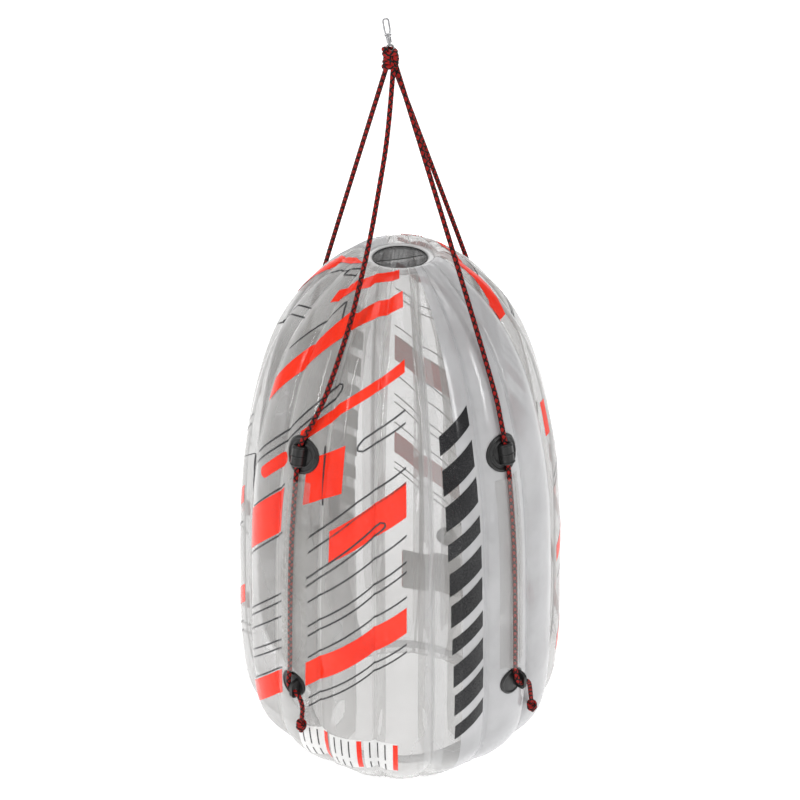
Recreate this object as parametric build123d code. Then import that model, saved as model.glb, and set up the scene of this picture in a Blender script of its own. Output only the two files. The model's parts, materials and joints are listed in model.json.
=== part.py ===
from build123d import *
import math
import os

# One-rider towable tube: a fluted, clear inflatable capsule that is open at its wide end, with a
# four-legged rope harness gathered in a knot under a stainless swivel.
# Millimetres. Z runs up along the axis of the tube, and the origin is at the middle of the ring on
# which the wide end stands. The front, midway between the two front pads, faces -Y.

# ---- driving dimensions -------------------------------------------------------------------------
tube_length = 1476.0  # ground to the crest of the nose
max_radius = 450.0  # crest of a lobe at the widest place
mouth_radius = 262.0  # where the outer film is welded at the wide end
mouth_lip = 14.0  # the outer film stands on a ring this much wider than the weld
mouth_weld_height = 34.0
tunnel_radius = 245.0  # rider's tunnel, to the flats of its strips
nose_radius = 84.0  # where the outer film is welded at the nose
nose_lip = 16.0
nose_weld_drop = 14.0  # the nose weld lies this far below the crest
lobe_count = 18
seam_depth = 15.0  # how far a seam lies behind the crest of a lobe
film = 1.2  # heavy PVC film
film_gap = 0.4  # between films that lie on each other

ring_wall = 6.0  # weld ring at the wide end
ring_height = 26.0
collar_width = 18.0  # ring round the nose opening
collar_height = 12.0
mesh_thickness = 1.2
edge_cord_radius = 1.8

strip_gap = 1.0  # between a weld strip and the skin
strip_low = 150.0
strip_drop = 110.0
baffle_gap = 0.8  # between a baffle and the film that it is welded to
baffle_foot = 110.0  # lowest point of a baffle
baffle_rows = 30
baffle_tip = 50.0  # its highest point lies this far below the crest
baffle_hole_radius = 34.0
baffle_hole_count = 4
baffle_hole_first = 0.17  # height of the lowest hole, as a share of the length
baffle_hole_step = 0.18

rope_diameter = 12.0
sleeve_hump = 19.5  # inside height of the sleeve over the rope
sleeve_lift = 0.8  # between a sleeve's welded edges and the crest of its lobe
sleeve_edge = 5.4  # half the width of a sleeve, in degrees round the tube
sleeve_foot = 2.9  # half the width of its hump
sleeve_end = 12.0  # between the end of a sleeve and a pad
pad_azimuths = {"front_left": -40.0, "front_right": 40.0, "back_right": 140.0, "back_left": -140.0}
upper_pad_height = 1066.0
lower_pad_height = 392.0
upper_pad_radius = 49.0
lower_pad_radius = 39.0
pad_disc = 3.0
pad_gap = 0.7  # between a pad and the crest of its lobe
hood_radius = 17.0
hood_bore = 8.5
hood_length = 54.0
ear_length = 50.0
ear_height = 31.0
ear_wall = 9.0
ear_bore = 9.5
ear_shift = 19.0  # the ear stands this far to the right of the rope's line
ear_bore_height = 19.2
ear_bore_drop = 4.5

knot_radius = 13.5  # stopper knot on a tail
apex_x = -23.0  # the harness hangs a little to the left of the axis
apex_height = 1969.0
apex_knot_radius = 20.0
swivel_lean = 9.0  # degrees, to the left
eye_radius = 8.0  # swivel eye, to the middle of its wire
eye_wire = 2.6
stem_radius = 3.0
stem_button_radius = 4.6
stem_button_height = 2.5
stem_clearance = 0.06
cup_radius = 6.2
cup_start = 13.0
cup_height = 15.0
cup_wall = 1.0
lug_width = 5.0
lug_height = 9.0
bail_wire = 2.0
bail_length = 38.0
bail_leg_spread = 5.2
bail_eye_radius = 3.8
bail_eye_gap = 0.25
pin_radius = 1.8
pin_clearance = 0.05
pin_head_radius = 2.8
pin_head = 1.2

valve_azimuth = 160.0  # on the back, just right of the middle
valve_height = 330.0
valve_flange_radius = 34.0
valve_flange = 2.0
valve_collar_radius = 18.0
valve_collar_rise = 9.0
valve_throat_radius = 9.5
valve_throat_length = 21.0
valve_gap = 0.3
cap_radius = 19.0
cap_thickness = 4.0
hinge_offset = 23.0  # hinge axis from the middle of the valve
hinge_height = 12.5
hinge_pin_radius = 1.5
hinge_pin_clearance = 0.06
hinge_knuckle_radius = 3.2
hinge_knuckle_length = 10.0
hinge_ear_length = 5.0
hinge_play = 0.3

handle_azimuth = 80.0
handle_height = 765.0  # middle of a grab handle
handle_reach = 62.0  # from the tunnel wall to the middle of the grip
handle_span = 190.0
grip_length = 112.0
grip_radius = 15.0
webbing_width = 24.0
webbing = 2.4
handle_patch = (60.0, 70.0, 2.0)

lobe_half = 180.0 / lobe_count
lip_rows = 3
flank_rows = 26
end_crowding = 0.08  # rows crowd towards both ends of the flank by this share

# ---- the lobe's outline, as (radius, height) ----------------------------------------------------
flank = [
    (0.707, 0.023),
    (0.798, 0.050),
    (0.889, 0.082),
    (0.956, 0.1165),
    (0.991, 0.169),
    (1.0, 0.230),
    (0.992, 0.339),
    (0.967, 0.498),
    (0.924, 0.627),
    (0.838, 0.747),
    (0.722, 0.846),
    (0.576, 0.916),
    (0.417, 0.965),
    (0.311, 0.988),
]
contact = (mouth_radius + mouth_lip, 0.0)
crest = (nose_radius + nose_lip, tube_length)
lip_curve = Spline((mouth_radius, mouth_weld_height), contact, tangents=[(0, -1), (1, 0)])
flank_curve = Spline(
    contact,
    *[(max_radius * r, tube_length * z) for r, z in flank],
    crest,
    tangents=[(1, 0), (-1, 0)],
)
nose_curve = Spline(
    crest,
    (nose_radius, tube_length - nose_weld_drop),
    tangents=[(-1, 0), (0, -1)],
)
outline = Wire([lip_curve, flank_curve, nose_curve])
outline_length = outline.length
seam_runout = 150.0  # a seam flattens out over this length at both ends


def outline_row(share):
    """Radius, height, outward normal and seam depth at a share of the outline's length."""
    point = outline.position_at(share)
    along = outline.tangent_at(share)
    normal = (along.Y, -along.X)
    run = min(share, 1 - share) * outline_length / seam_runout
    ease = min(run, 1.0) ** 2 * (3 - 2 * min(run, 1.0))
    return point.X, point.Y, normal, seam_depth * ease * math.sqrt(point.X / max_radius)


def share_at(height):
    """Share of the outline's length at which its flank has this height."""
    low, high = 0.1, 0.95
    for _ in range(40):
        middle = (low + high) / 2
        if outline.position_at(middle).Y < height:
            low = middle
        else:
            high = middle
    return (low + high) / 2


def skin_point(row, azimuth, standoff):
    """A point on the outer film, moved out along its normal by standoff, as (radius, height)."""
    radius, height, normal, depth = row
    across = ((azimuth + lobe_half) % (2 * lobe_half) - lobe_half) / lobe_half
    out = standoff - depth * across**2
    return (radius + normal[0] * out, height + normal[1] * out)


def meridian_plane(azimuth):
    """The plane through the axis at an azimuth: x is the radius and y the height."""
    a = math.radians(azimuth)
    return Plane(
        origin=(0, 0, 0),
        x_dir=(math.sin(a), -math.cos(a), 0),
        z_dir=(-math.cos(a), -math.sin(a), 0),
    )


def section(rows, azimuth, inner, outer, seam_at=None):
    """The closed outline of a film in one meridian plane, between two standoffs."""
    at = azimuth if seam_at is None else seam_at
    inside = [skin_point(row, at, inner) for row in rows]
    outside = [skin_point(row, at, outer) for row in rows]
    edges = [
        Spline(*outside),
        Line(outside[-1], inside[-1]),
        Spline(*inside[::-1]),
        Line(inside[0], outside[0]),
    ]
    return meridian_plane(azimuth) * make_face([edge.edge() for edge in edges])


def rows_between(start, end, count):
    return [outline_row(start + (end - start) * i / (count - 1)) for i in range(count)]


def whole_rows():
    """Rows over the whole outline, with one exactly at the contact ring and one at the crest."""
    ends = [i / lip_rows for i in range(lip_rows)]
    even = [i / flank_rows for i in range(flank_rows)]
    middle = [t - end_crowding * math.sin(2 * math.pi * t) for t in even]
    start, end = lip_curve.length, outline_length - nose_curve.length
    lengths = [start * t for t in ends] + [start + (end - start) * t for t in middle]
    lengths += [outline_length - nose_curve.length * (1 - t) for t in ends] + [outline_length]
    return [outline_row(length / outline_length) for length in lengths]


def film_patch(centre, steps, low, high, thickness, count=9):
    """A film that lies on the skin. steps gives (azimuth from the centre, standoff) in order."""
    rows = rows_between(share_at(low), share_at(high), count)
    faces = [section(rows, centre + a, lift, lift + thickness) for a, lift in steps]
    return loft(faces, ruled=True)


def pad_plane(azimuth, height):
    """A plane on the crest of a lobe: x is to the right, y up along the lobe and z outward."""
    radius, level, normal, _ = outline_row(share_at(height))
    a = math.radians(azimuth)
    outward = (math.sin(a) * normal[0], -math.cos(a) * normal[0], normal[1])
    return Plane(
        origin=(radius * math.sin(a), -radius * math.cos(a), level),
        x_dir=(math.cos(a), math.sin(a), 0),
        z_dir=outward,
    )


def save(name, *solids):
    """Write one node from its separate solids."""
    shapes = [s for solid in solids for s in solid.solids()]
    node = shapes[0] if len(shapes) == 1 else Compound(children=shapes)
    export_step(node, f"parts/{name}.step")


# ---- outer skin: eighteen lobes in six panels ---------------------------------------------------
def lobe(azimuth):
    rows = whole_rows()
    steps = [-lobe_half, -lobe_half / 2, 0.0, lobe_half / 2, lobe_half]
    return loft([section(rows, azimuth + a, -film, 0.0, seam_at=a) for a in steps])


def valve_place():
    """The valve's plane: x is to the right, y up and z level, straight out from the axis."""
    a = math.radians(valve_azimuth)
    radius = outline_row(share_at(valve_height))[0]
    return Plane(
        origin=(radius * math.sin(a), -radius * math.cos(a), valve_height),
        x_dir=(math.cos(a), math.sin(a), 0),
        z_dir=(math.sin(a), -math.cos(a), 0),
    )


valve_plane = valve_place()


def outer_skin():
    lobe_step = 2 * lobe_half
    panels = ["front_left", "front_right", "right", "back_right", "back_left", "left"]
    first = -3 * lobe_step
    valve_hole = valve_plane * Cylinder(valve_collar_radius + valve_gap, 60)
    for number, name in enumerate(panels):
        lobes = []
        for i in range(lobe_count // len(panels)):
            azimuth = first + (number * (lobe_count // len(panels)) + i) * lobe_step
            piece = lobe(azimuth)
            if abs(azimuth - valve_azimuth) < lobe_half:
                piece -= valve_hole
            lobes.append(piece)
        save(f"skin_{name}", *lobes)


# ---- rider's tunnel -----------------------------------------------------------------------------
liner_start = mouth_weld_height + ring_height
liner_end = tube_length - nose_weld_drop - collar_height
liner_mouth = mouth_radius - ring_wall / 2 - film
liner_nose = nose_radius - 4.0
tunnel_end = 0.61 * tube_length
straight_liner = [(liner_mouth, liner_start), (tunnel_radius, 200.0), (tunnel_radius, tunnel_end)]
nose_liner = [
    (tunnel_radius, tunnel_end),
    (0.878 * tunnel_radius, 0.746 * tube_length),
    (0.673 * tunnel_radius, 0.881 * tube_length),
    (0.428 * tunnel_radius, 0.962 * tube_length),
    (liner_nose, liner_end),
]


def liner_strip(azimuth, stations):
    """One flat strip between two baffles: a trapezium at each station, joined by flat walls."""
    faces = []
    for flat, height in stations:
        corners = []
        for radius, side in [(flat, -1), (flat, 1), (flat + film, 1), (flat + film, -1)]:
            reach = radius / math.cos(math.radians(lobe_half))
            a = math.radians(azimuth + side * lobe_half)
            corners.append((reach * math.sin(a), -reach * math.cos(a), height))
        faces.append(Face(Wire(Polyline(*corners, close=True).edges())))
    return loft(faces, ruled=True)


def tunnel():
    for name, stations in [("tunnel_liner", straight_liner), ("nose_liner", nose_liner)]:
        strips = [liner_strip(2 * lobe_half * i, stations) for i in range(lobe_count)]
        save(name, *strips)


def liner_flat(height):
    """Radius of the tunnel's flats at a height."""
    stations = straight_liner + nose_liner[1:]
    for (r0, z0), (r1, z1) in zip(stations, stations[1:]):
        if z0 <= height <= z1:
            return r0 + (r1 - r0) * (height - z0) / (z1 - z0)
    return liner_nose


# ---- baffles between skin and tunnel ------------------------------------------------------------
def baffle(azimuth):
    rows = rows_between(share_at(baffle_foot), share_at(tube_length - baffle_tip), baffle_rows)
    outer = [skin_point(row, lobe_half, -film - baffle_gap) for row in rows]
    seam = 1 / math.cos(math.radians(lobe_half))
    inner = [
        ((flat + film) * seam + film_gap, height)
        for flat, height in straight_liner + nose_liner[1:]
        if outer[0][1] < height < outer[-1][1]
    ]
    foot = ((liner_mouth + film) * seam + film_gap, outer[0][1])
    tip = ((liner_flat(outer[-1][1]) + film) * seam + film_gap, outer[-1][1])
    inner_edge = Polyline(outer[-1], tip, *inner[::-1], foot, outer[0])
    face = make_face([Spline(*outer).edge(), *inner_edge.edges()])
    sheet = extrude(meridian_plane(azimuth) * face, film / 2, both=True)
    for i in range(baffle_hole_count):
        height = tube_length * (baffle_hole_first + baffle_hole_step * i)
        wall = outline_row(share_at(height))[0]
        middle = (wall + tunnel_radius) / 2
        hole = meridian_plane(azimuth) * Pos(middle, height, 0) * Cylinder(baffle_hole_radius, 20)
        sheet -= hole
    return sheet


def baffles():
    per_node = lobe_count // 3
    for node in range(3):
        first = lobe_half + node * per_node * 2 * lobe_half
        save(
            f"baffles_{'abc'[node]}",
            *[baffle(first + 2 * lobe_half * i) for i in range(per_node)],
        )


# ---- rings, mesh and weld strips ----------------------------------------------------------------
def tube_ring(inner, outer, low, high):
    ring = Cylinder(outer, high - low) - Cylinder(inner, high - low)
    return Pos(0, 0, (low + high) / 2) * ring


collar_top = tube_length - nose_weld_drop
collar_inner = nose_radius + 4.0 - collar_width


def rings():
    outer = mouth_radius + 1.0
    ring = tube_ring(outer - ring_wall, outer, mouth_weld_height, liner_start)
    save("mouth_weld_ring", ring)
    collar = tube_ring(collar_inner, nose_radius + 4.0, liner_end, collar_top)
    save("nose_collar", collar)
    mesh_radius = collar_inner - film_gap
    mesh_top = collar_top - 2 * edge_cord_radius
    mesh = Pos(0, 0, mesh_top - mesh_thickness / 2) * Cylinder(mesh_radius, mesh_thickness)
    save("nose_mesh", mesh)
    cord = Torus(mesh_radius - edge_cord_radius, edge_cord_radius)
    save("mesh_edge_cord", Pos(0, 0, mesh_top + edge_cord_radius + 0.2) * cord)
    steps = [(-2.9, strip_gap), (-1.4, strip_gap), (0, strip_gap), (1.9, strip_gap), (3.8, strip_gap)]
    for name, azimuth in [("front", lobe_half), ("back", lobe_half + 180)]:
        strip = film_patch(azimuth, steps, strip_low, tube_length - strip_drop, film, 19)
        save(f"weld_strip_{name}", strip)


# ---- harness pads and rope sleeves --------------------------------------------------------------
def pad_disc_on(azimuth, height, radius, thickness):
    """A round patch that follows the lobe."""
    across = math.degrees(1.2 * radius / outline_row(share_at(height))[0])
    steps = [(across * i / 3, pad_gap) for i in range(-3, 4)]
    slab = film_patch(azimuth, steps, height - 1.25 * radius, height + 1.25 * radius, thickness, 7)
    return slab & (pad_plane(azimuth, height) * Cylinder(radius, 80))


def under_pad(azimuth, height, radius):
    """Everything below the middle of a pad's disc, for trimming what is moulded on it."""
    across = math.degrees(1.2 * radius / outline_row(share_at(height))[0])
    low, high = height - 1.25 * radius, height + 1.25 * radius
    rows = rows_between(share_at(low), share_at(high), 7)
    faces = [
        section(rows, azimuth + across * i / 3, -40.0, pad_gap + pad_disc / 2)
        for i in range(-3, 4)
    ]
    return loft(faces, ruled=True)


def upper_pad(azimuth):
    plane = pad_plane(azimuth, upper_pad_height)
    rope_line = pad_gap + pad_disc + hood_bore
    tunnel_shape = Rot(90, 0, 0) * Cylinder(hood_radius, hood_length)
    skirt = Pos(0, 0, -rope_line / 2) * Box(2 * hood_radius, hood_length, rope_line)
    hood = Pos(0, 0, rope_line) * (tunnel_shape + skirt)
    hood = fillet(hood.edges().filter_by(GeomType.CIRCLE), 4.0)
    hood -= Pos(0, 0, rope_line) * Rot(90, 0, 0) * Cylinder(hood_bore, 2 * hood_length)
    hood = plane * hood - under_pad(azimuth, upper_pad_height, upper_pad_radius)
    disc = pad_disc_on(azimuth, upper_pad_height, upper_pad_radius, pad_disc)
    return disc + hood


def lower_pad(azimuth):
    plane = pad_plane(azimuth, lower_pad_height)
    ear = Pos(ear_shift, 0, ear_height / 2) * Box(ear_wall, ear_length, ear_height)
    upper_edges = ear.edges().filter_by(Axis.X).group_by(Axis.Z)[-1]
    ear = fillet(upper_edges, 0.45 * ear_height)
    ear -= Pos(ear_shift, -ear_bore_drop, ear_bore_height) * Rot(0, 90, 0) * Cylinder(ear_bore, 2 * ear_wall)
    ear = plane * ear - under_pad(azimuth, lower_pad_height, lower_pad_radius)
    return pad_disc_on(azimuth, lower_pad_height, lower_pad_radius, pad_disc) + ear


def sleeve(azimuth):
    """A film strip welded to the skin along both edges, with a hump for the rope."""
    low = lower_pad_height + lower_pad_radius + sleeve_end
    high = upper_pad_height - upper_pad_radius - sleeve_end
    half = [
        (sleeve_edge, sleeve_lift),
        (sleeve_foot, sleeve_lift),
        (0.52 * sleeve_foot, 0.72 * sleeve_hump),
    ]
    steps = [(-a, lift) for a, lift in half] + [(0.0, sleeve_hump)] + half[::-1]
    return film_patch(azimuth, steps, low, high, film, 10)


def pads():
    for name, azimuth in pad_azimuths.items():
        save(f"upper_pad_{name}", upper_pad(azimuth))
        save(f"lower_pad_{name}", lower_pad(azimuth))
        save(f"rope_sleeve_{name}", sleeve(azimuth))


# ---- harness ropes ------------------------------------------------------------------------------
# Each leg leaves the apex knot, runs down to its upper pad, on inside its sleeve, through the ear
# of its lower pad and down to a stopper knot. A leg's points are (right, out, height): right and
# out are measured from the axis in the leg's own radial plane, right being towards the right-hand
# side as it is seen from outside.
sleeve_run = [
    (0, 399.5, 1067),
    (0, 413, 995),
    (0, 436, 830),
    (0, 448, 670),
    (0, 456, 520),
    (0, 458, 466),
    (-1, 462, 430),
    (0, 469, 405),
]
taut_leg = [(0, 344, 1247), (0, 381, 1130)] + sleeve_run
slack_leg = [
    (23, 71, 1815),
    (29, 116, 1684),
    (40, 164, 1574),
    (46, 211, 1475),
    (52, 259, 1380),
    (50, 345, 1232),
    (34, 367, 1176),
    (14, 385, 1126),
    (1, 391, 1098),
] + sleeve_run
ear_run = [(10, 469.5, 388), (32, 469, 386)]
right_tail = ear_run + [
    (50, 464, 368),
    (62, 458, 338),
    (72, 453, 302),
    (82, 449, 266),
]
left_tail = ear_run + [
    (40, 465, 364),
    (42, 461, 335),
    (38, 462, 306),
    (35, 461, 282),
]
legs = {
    "front_left": ((-30, -8, 1953), slack_leg + left_tail),
    "front_right": ((-16, -8, 1953), taut_leg + right_tail),
    "back_right": ((-16, 8, 1953), taut_leg + left_tail),
    "back_left": ((-30, 8, 1953), taut_leg + right_tail),
}


def turned(point, azimuth):
    """A leg's (right, out, height) as x, y and z."""
    right, out, height = point
    a = math.radians(azimuth)
    return (
        out * math.sin(a) + right * math.cos(a),
        -out * math.cos(a) + right * math.sin(a),
        height,
    )


def corner_radii(points):
    """Each corner's radius: 0.45 of its shorter run over the tangent of half its turn."""
    radii = []
    for before, here, after in zip(points, points[1:], points[2:]):
        first, second = Vector(here) - Vector(before), Vector(after) - Vector(here)
        turn = math.radians(first.get_angle(second))
        radii.append(0.45 * min(first.length, second.length) / math.tan(turn / 2))
    return radii


def rope(points):
    radii = corner_radii(points)
    path = FilletPolyline(*points, radius=radii)
    start = Plane(origin=path @ 0, z_dir=path % 0)
    solid = sweep(start * Circle(rope_diameter / 2), path=path)
    expected = math.pi * rope_diameter**2 / 4 * path.length
    tightest = min(radii)
    print(f"  rope {path.length:.0f} mm, tightest bend {tightest:.0f} mm,", end=" ")
    print(f"volume {solid.volume / expected:.4f} of its section times its length")
    print("   radii", [round(radius) for radius in radii])
    return solid


def knot_at(end, before, radius):
    """A stopper knot on the end of a rope, with the short end that comes out of it."""
    along = (Vector(end) - Vector(before)).normalized()
    knot = Pos(*(Vector(end) + along * 0.55 * radius)) * Sphere(radius)
    plane = Plane(origin=Vector(end) + along * 1.2 * radius, z_dir=along)
    stub = plane * Pos(0, 0, 0.6 * radius) * Cylinder(rope_diameter / 2, 1.2 * radius)
    return knot + stub


def harness():
    for name, (start, points) in legs.items():
        azimuth = pad_azimuths[name]
        route = [start] + [turned(point, azimuth) for point in points]
        print(name)
        save(f"harness_rope_{name}", rope(route))
        save(f"stopper_knot_{name}", knot_at(route[-1], route[-2], knot_radius))
    upper = Pos(apex_x, 0, apex_height + 8) * Sphere(apex_knot_radius)
    lower = Pos(apex_x, 0, apex_height - 8) * Sphere(apex_knot_radius)
    sides = [
        Pos(apex_x + side * 6, 0, apex_height - 2) * Sphere(0.8 * apex_knot_radius)
        for side in (-1, 1)
    ]
    save("apex_knot", upper + lower + sides[0] + sides[1])


# ---- swivel -------------------------------------------------------------------------------------
lean = math.radians(swivel_lean)
swivel_axis = (-math.sin(lean), 0, math.cos(lean))
swivel_plane = Plane(
    origin=(apex_x, 0, apex_height + 8 + apex_knot_radius - 2),
    x_dir=(math.cos(lean), 0, math.sin(lean)),
    z_dir=swivel_axis,
)
cup_floor = cup_start + cup_wall
button_start = cup_floor + stem_clearance
pin_level = cup_start + cup_height + 0.5 * lug_height


def swivel():
    eye = Rot(90, 0, 0) * Torus(eye_radius, eye_wire)
    stem_low = eye_radius - 1.0
    stem_top = button_start + stem_button_height
    stem = Pos(0, 0, (stem_low + stem_top) / 2) * Cylinder(stem_radius, stem_top - stem_low)
    button = Pos(0, 0, stem_top - stem_button_height / 2)
    button *= Cylinder(stem_button_radius, stem_button_height)
    save("swivel_eye", swivel_plane * (eye + stem + button))

    cup = Pos(0, 0, cup_start + cup_height / 2) * Cylinder(cup_radius, cup_height)
    cup = fillet(cup.edges().filter_by(GeomType.CIRCLE), 1.8)
    chamber = stem_button_height + 2 * stem_clearance + 0.4
    cup -= Pos(0, 0, cup_floor + chamber / 2) * Cylinder(stem_button_radius + 0.2, chamber)
    cup -= Pos(0, 0, cup_start) * Cylinder(stem_radius + stem_clearance, 3 * cup_wall)
    lug = Pos(0, 0, cup_start + cup_height + 0.4 * lug_height)
    lug *= Box(lug_width, 2 * bail_eye_radius, 1.2 * lug_height)
    lug = fillet(lug.edges().filter_by(Axis.X).group_by(Axis.Z)[-1], 2.5)
    bore = Pos(0, 0, pin_level) * Rot(0, 90, 0) * Cylinder(pin_radius, 4 * lug_width)
    save("swivel_cup", swivel_plane * (cup + lug - bore))

    eye_start = lug_width / 2 + bail_eye_gap
    pin_half = eye_start + 2 * bail_wire + bail_eye_gap
    shank = Rot(0, 90, 0) * Cylinder(pin_radius, 2 * pin_half + pin_head)
    heads = [
        Pos(side * (pin_half + pin_head / 2), 0, 0)
        * Rot(0, 90, 0)
        * Cylinder(pin_head_radius, pin_head)
        for side in (-1, 1)
    ]
    pin = Pos(0, 0, pin_level) * (shank + heads[0] + heads[1])
    save("bail_pin", swivel_plane * pin)

    leg_x = eye_start + bail_wire
    crown = bail_leg_spread + 1.3
    wire = FilletPolyline(
        (-leg_x, 0, pin_level + 2),
        (-crown, 0, pin_level + 12),
        (-crown, 0, pin_level + bail_length),
        (crown, 0, pin_level + bail_length),
        (crown, 0, pin_level + 12),
        (leg_x, 0, pin_level + 2),
        radius=[20.0, crown - 0.3, crown - 0.3, 20.0],
    )
    start = Plane(origin=wire @ 0, z_dir=wire % 0)
    bail = sweep(start * Circle(bail_wire), path=wire)
    hole = Pos(0, 0, pin_level) * Rot(0, 90, 0)
    hole *= Cylinder(pin_radius + pin_clearance, 8 * bail_wire + 2 * lug_width)
    for side in (-1, 1):
        place = Pos(side * leg_x, 0, pin_level) * Rot(0, 90, 0)
        bail += place * Cylinder(bail_eye_radius, 2 * bail_wire)
    save("tow_bail", swivel_plane * (bail - hole))


# ---- inflation valve ----------------------------------------------------------------------------
def valve():
    flange = pad_disc_on(valve_azimuth, valve_height, valve_flange_radius, valve_flange)
    throat_low = valve_collar_rise - valve_throat_length
    collar = Pos(0, 0, (valve_collar_rise + throat_low) / 2)
    collar *= Cylinder(valve_collar_radius, valve_throat_length)
    hinge_line = Pos(0, hinge_offset, hinge_height) * Rot(0, 90, 0)
    ear_middle = hinge_knuckle_length / 2 + hinge_play + hinge_ear_length / 2
    ears = []
    for side in (-1, 1):
        barrel = Rot(0, 90, 0) * Cylinder(hinge_knuckle_radius, hinge_ear_length)
        web = Pos(0, -1.0, -hinge_height / 2)
        web *= Box(hinge_ear_length, 2 * hinge_knuckle_radius, hinge_height)
        ears.append(Pos(side * ear_middle, hinge_offset, hinge_height) * (barrel + web))
    base = collar + ears[0] + ears[1]
    base -= Cylinder(valve_throat_radius, 4 * valve_throat_length)
    base -= hinge_line * Cylinder(hinge_pin_radius, 60)
    placed = valve_plane * base
    flange -= valve_plane * Cylinder(valve_collar_radius - 1, 60)
    save("valve_base", placed + flange)

    pin_length = hinge_knuckle_length + 2 * hinge_play + 2 * hinge_ear_length
    save("valve_hinge_pin", valve_plane * hinge_line * Cylinder(hinge_pin_radius, pin_length))

    cap_low = valve_collar_rise + valve_gap
    lid = Pos(0, 0, cap_low + cap_thickness / 2) * Cylinder(cap_radius, cap_thickness)
    lid = fillet(lid.edges().filter_by(GeomType.CIRCLE).group_by(Axis.Z)[-1], 1.5)
    knuckle = hinge_line * Cylinder(hinge_knuckle_radius, hinge_knuckle_length)
    bridge = Pos(0, (cap_radius + hinge_offset) / 2 - 2, cap_low + cap_thickness / 2)
    bridge *= Box(hinge_knuckle_length, hinge_offset - cap_radius + 4, cap_thickness - 1)
    tab = Pos(0, -cap_radius - 2, cap_low + cap_thickness / 2) * Box(12, 9, cap_thickness - 1)
    cap = lid + knuckle + bridge + tab
    cap -= hinge_line * Cylinder(hinge_pin_radius + hinge_pin_clearance, 60)
    save("valve_cap", valve_plane * cap)

    disc = Pos(0, 0, throat_low - valve_gap - 1) * Cylinder(valve_throat_radius + 3, 2)
    save("valve_flap", valve_plane * disc)


# ---- grab handles in the tunnel -----------------------------------------------------------------
def handles():
    half = handle_span / 2
    for name, azimuth in [("right", handle_azimuth), ("left", -handle_azimuth)]:
        a = math.radians(azimuth)
        flat = liner_flat(handle_height)
        foot = (flat * math.sin(a), -flat * math.cos(a), handle_height)
        inward = Vector(-math.sin(a), math.cos(a), 0)
        up = Vector(0, 0, 1)
        plane = Plane(origin=foot, x_dir=up, z_dir=inward)
        wide, tall, thick = handle_patch
        seats = [
            plane * Pos(side * half, 0, film_gap + thick / 2) * Box(wide, tall, thick)
            for side in (-1, 1)
        ]
        save(f"handle_patches_{name}", *seats)
        lift = film_gap + thick + 0.2
        run = FilletPolyline(
            (-half - wide / 2, lift),
            (-half + 4, lift),
            (-0.36 * handle_span, handle_reach),
            (0.36 * handle_span, handle_reach),
            (half - 4, lift),
            (half + wide / 2, lift),
            radius=14.0,
        )
        outer = offset(run, webbing, side=Side.LEFT)
        band = make_face(outer.edges())
        placed = Plane(origin=foot, x_dir=up, z_dir=up.cross(inward))
        strap = extrude(placed * band, webbing_width / 2, both=True)
        save(f"handle_webbing_{name}", strap)
        grip = Pos(0, 0, handle_reach + webbing / 2) * Rot(0, 90, 0)
        grip *= Cylinder(grip_radius, grip_length)
        slot = Pos(0, 0, handle_reach + webbing / 2)
        slot *= Box(2 * grip_length, webbing_width + 2 * film_gap, webbing + 2 * film_gap)
        save(f"handle_grip_{name}", plane * (grip - slot))


os.makedirs("parts", exist_ok=True)
outer_skin()
tunnel()
baffles()
rings()
pads()
harness()
swivel()
valve()
handles()
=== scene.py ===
# %% [markdown]
# # A clear towable tube with a rope harness
# The tube is a tall capsule of clear film. Eighteen flat webs tie its outer film to an open tunnel,
# so air swells it into lobes, like a pumpkin. Four ropes run up its sides to a knot under a swivel.
# Everything here is in metres: Z is up, the front faces -Y, and the origin is on the ground in the
# middle. An azimuth is counted from the front, and grows towards +X.

# %% Load the rigid frame
import json
import math
import bpy
import numpy as np
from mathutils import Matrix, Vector


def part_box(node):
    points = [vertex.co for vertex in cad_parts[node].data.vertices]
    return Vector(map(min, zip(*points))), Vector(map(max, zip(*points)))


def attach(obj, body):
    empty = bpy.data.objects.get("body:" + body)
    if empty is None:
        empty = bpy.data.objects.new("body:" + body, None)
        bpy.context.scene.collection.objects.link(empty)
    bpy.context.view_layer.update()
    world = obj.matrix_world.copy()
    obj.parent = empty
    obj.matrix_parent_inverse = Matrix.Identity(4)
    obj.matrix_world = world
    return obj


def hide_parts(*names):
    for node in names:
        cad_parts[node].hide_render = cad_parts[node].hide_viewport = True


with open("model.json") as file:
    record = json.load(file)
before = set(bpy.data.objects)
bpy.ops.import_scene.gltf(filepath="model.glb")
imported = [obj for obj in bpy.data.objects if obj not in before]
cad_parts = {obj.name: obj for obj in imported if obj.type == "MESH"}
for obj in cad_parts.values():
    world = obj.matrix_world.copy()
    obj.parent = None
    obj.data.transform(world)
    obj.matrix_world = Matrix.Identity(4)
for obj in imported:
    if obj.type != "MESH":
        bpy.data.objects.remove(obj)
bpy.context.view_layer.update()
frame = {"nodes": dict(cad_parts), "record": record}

# %% [markdown]
# ## Camera
# A person stands four metres away and looks down on the tube a little. A long lens keeps the
# upright lobes upright. The camera looks along the direction it is given, by turning its own -Z
# axis that way.

# %% Camera
camera_data = bpy.data.cameras.new("camera")
camera_data.lens = 72.0
camera = bpy.data.objects.new("camera", camera_data)
camera.location = (-0.0769, -3.6688, 3.1045)
look_down = 0.5101
look_along = Vector((0.02094, 0.99978, -math.tan(look_down)))
camera.rotation_euler = look_along.to_track_quat("-Z", "Y").to_euler()
bpy.context.scene.collection.objects.link(camera)
bpy.context.scene.camera = camera
print("camera looks down", round(math.degrees(look_down), 1), "degrees")

# %% [markdown]
# ## Floor and light
# Clear film shows itself by what it reflects, so the room matters as much as the film. A pale floor
# that curves up into a wall gives one even ground. Tall soft panels on both sides draw the long
# bright lines down the lobes, and a big one above fills the creases.


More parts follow.
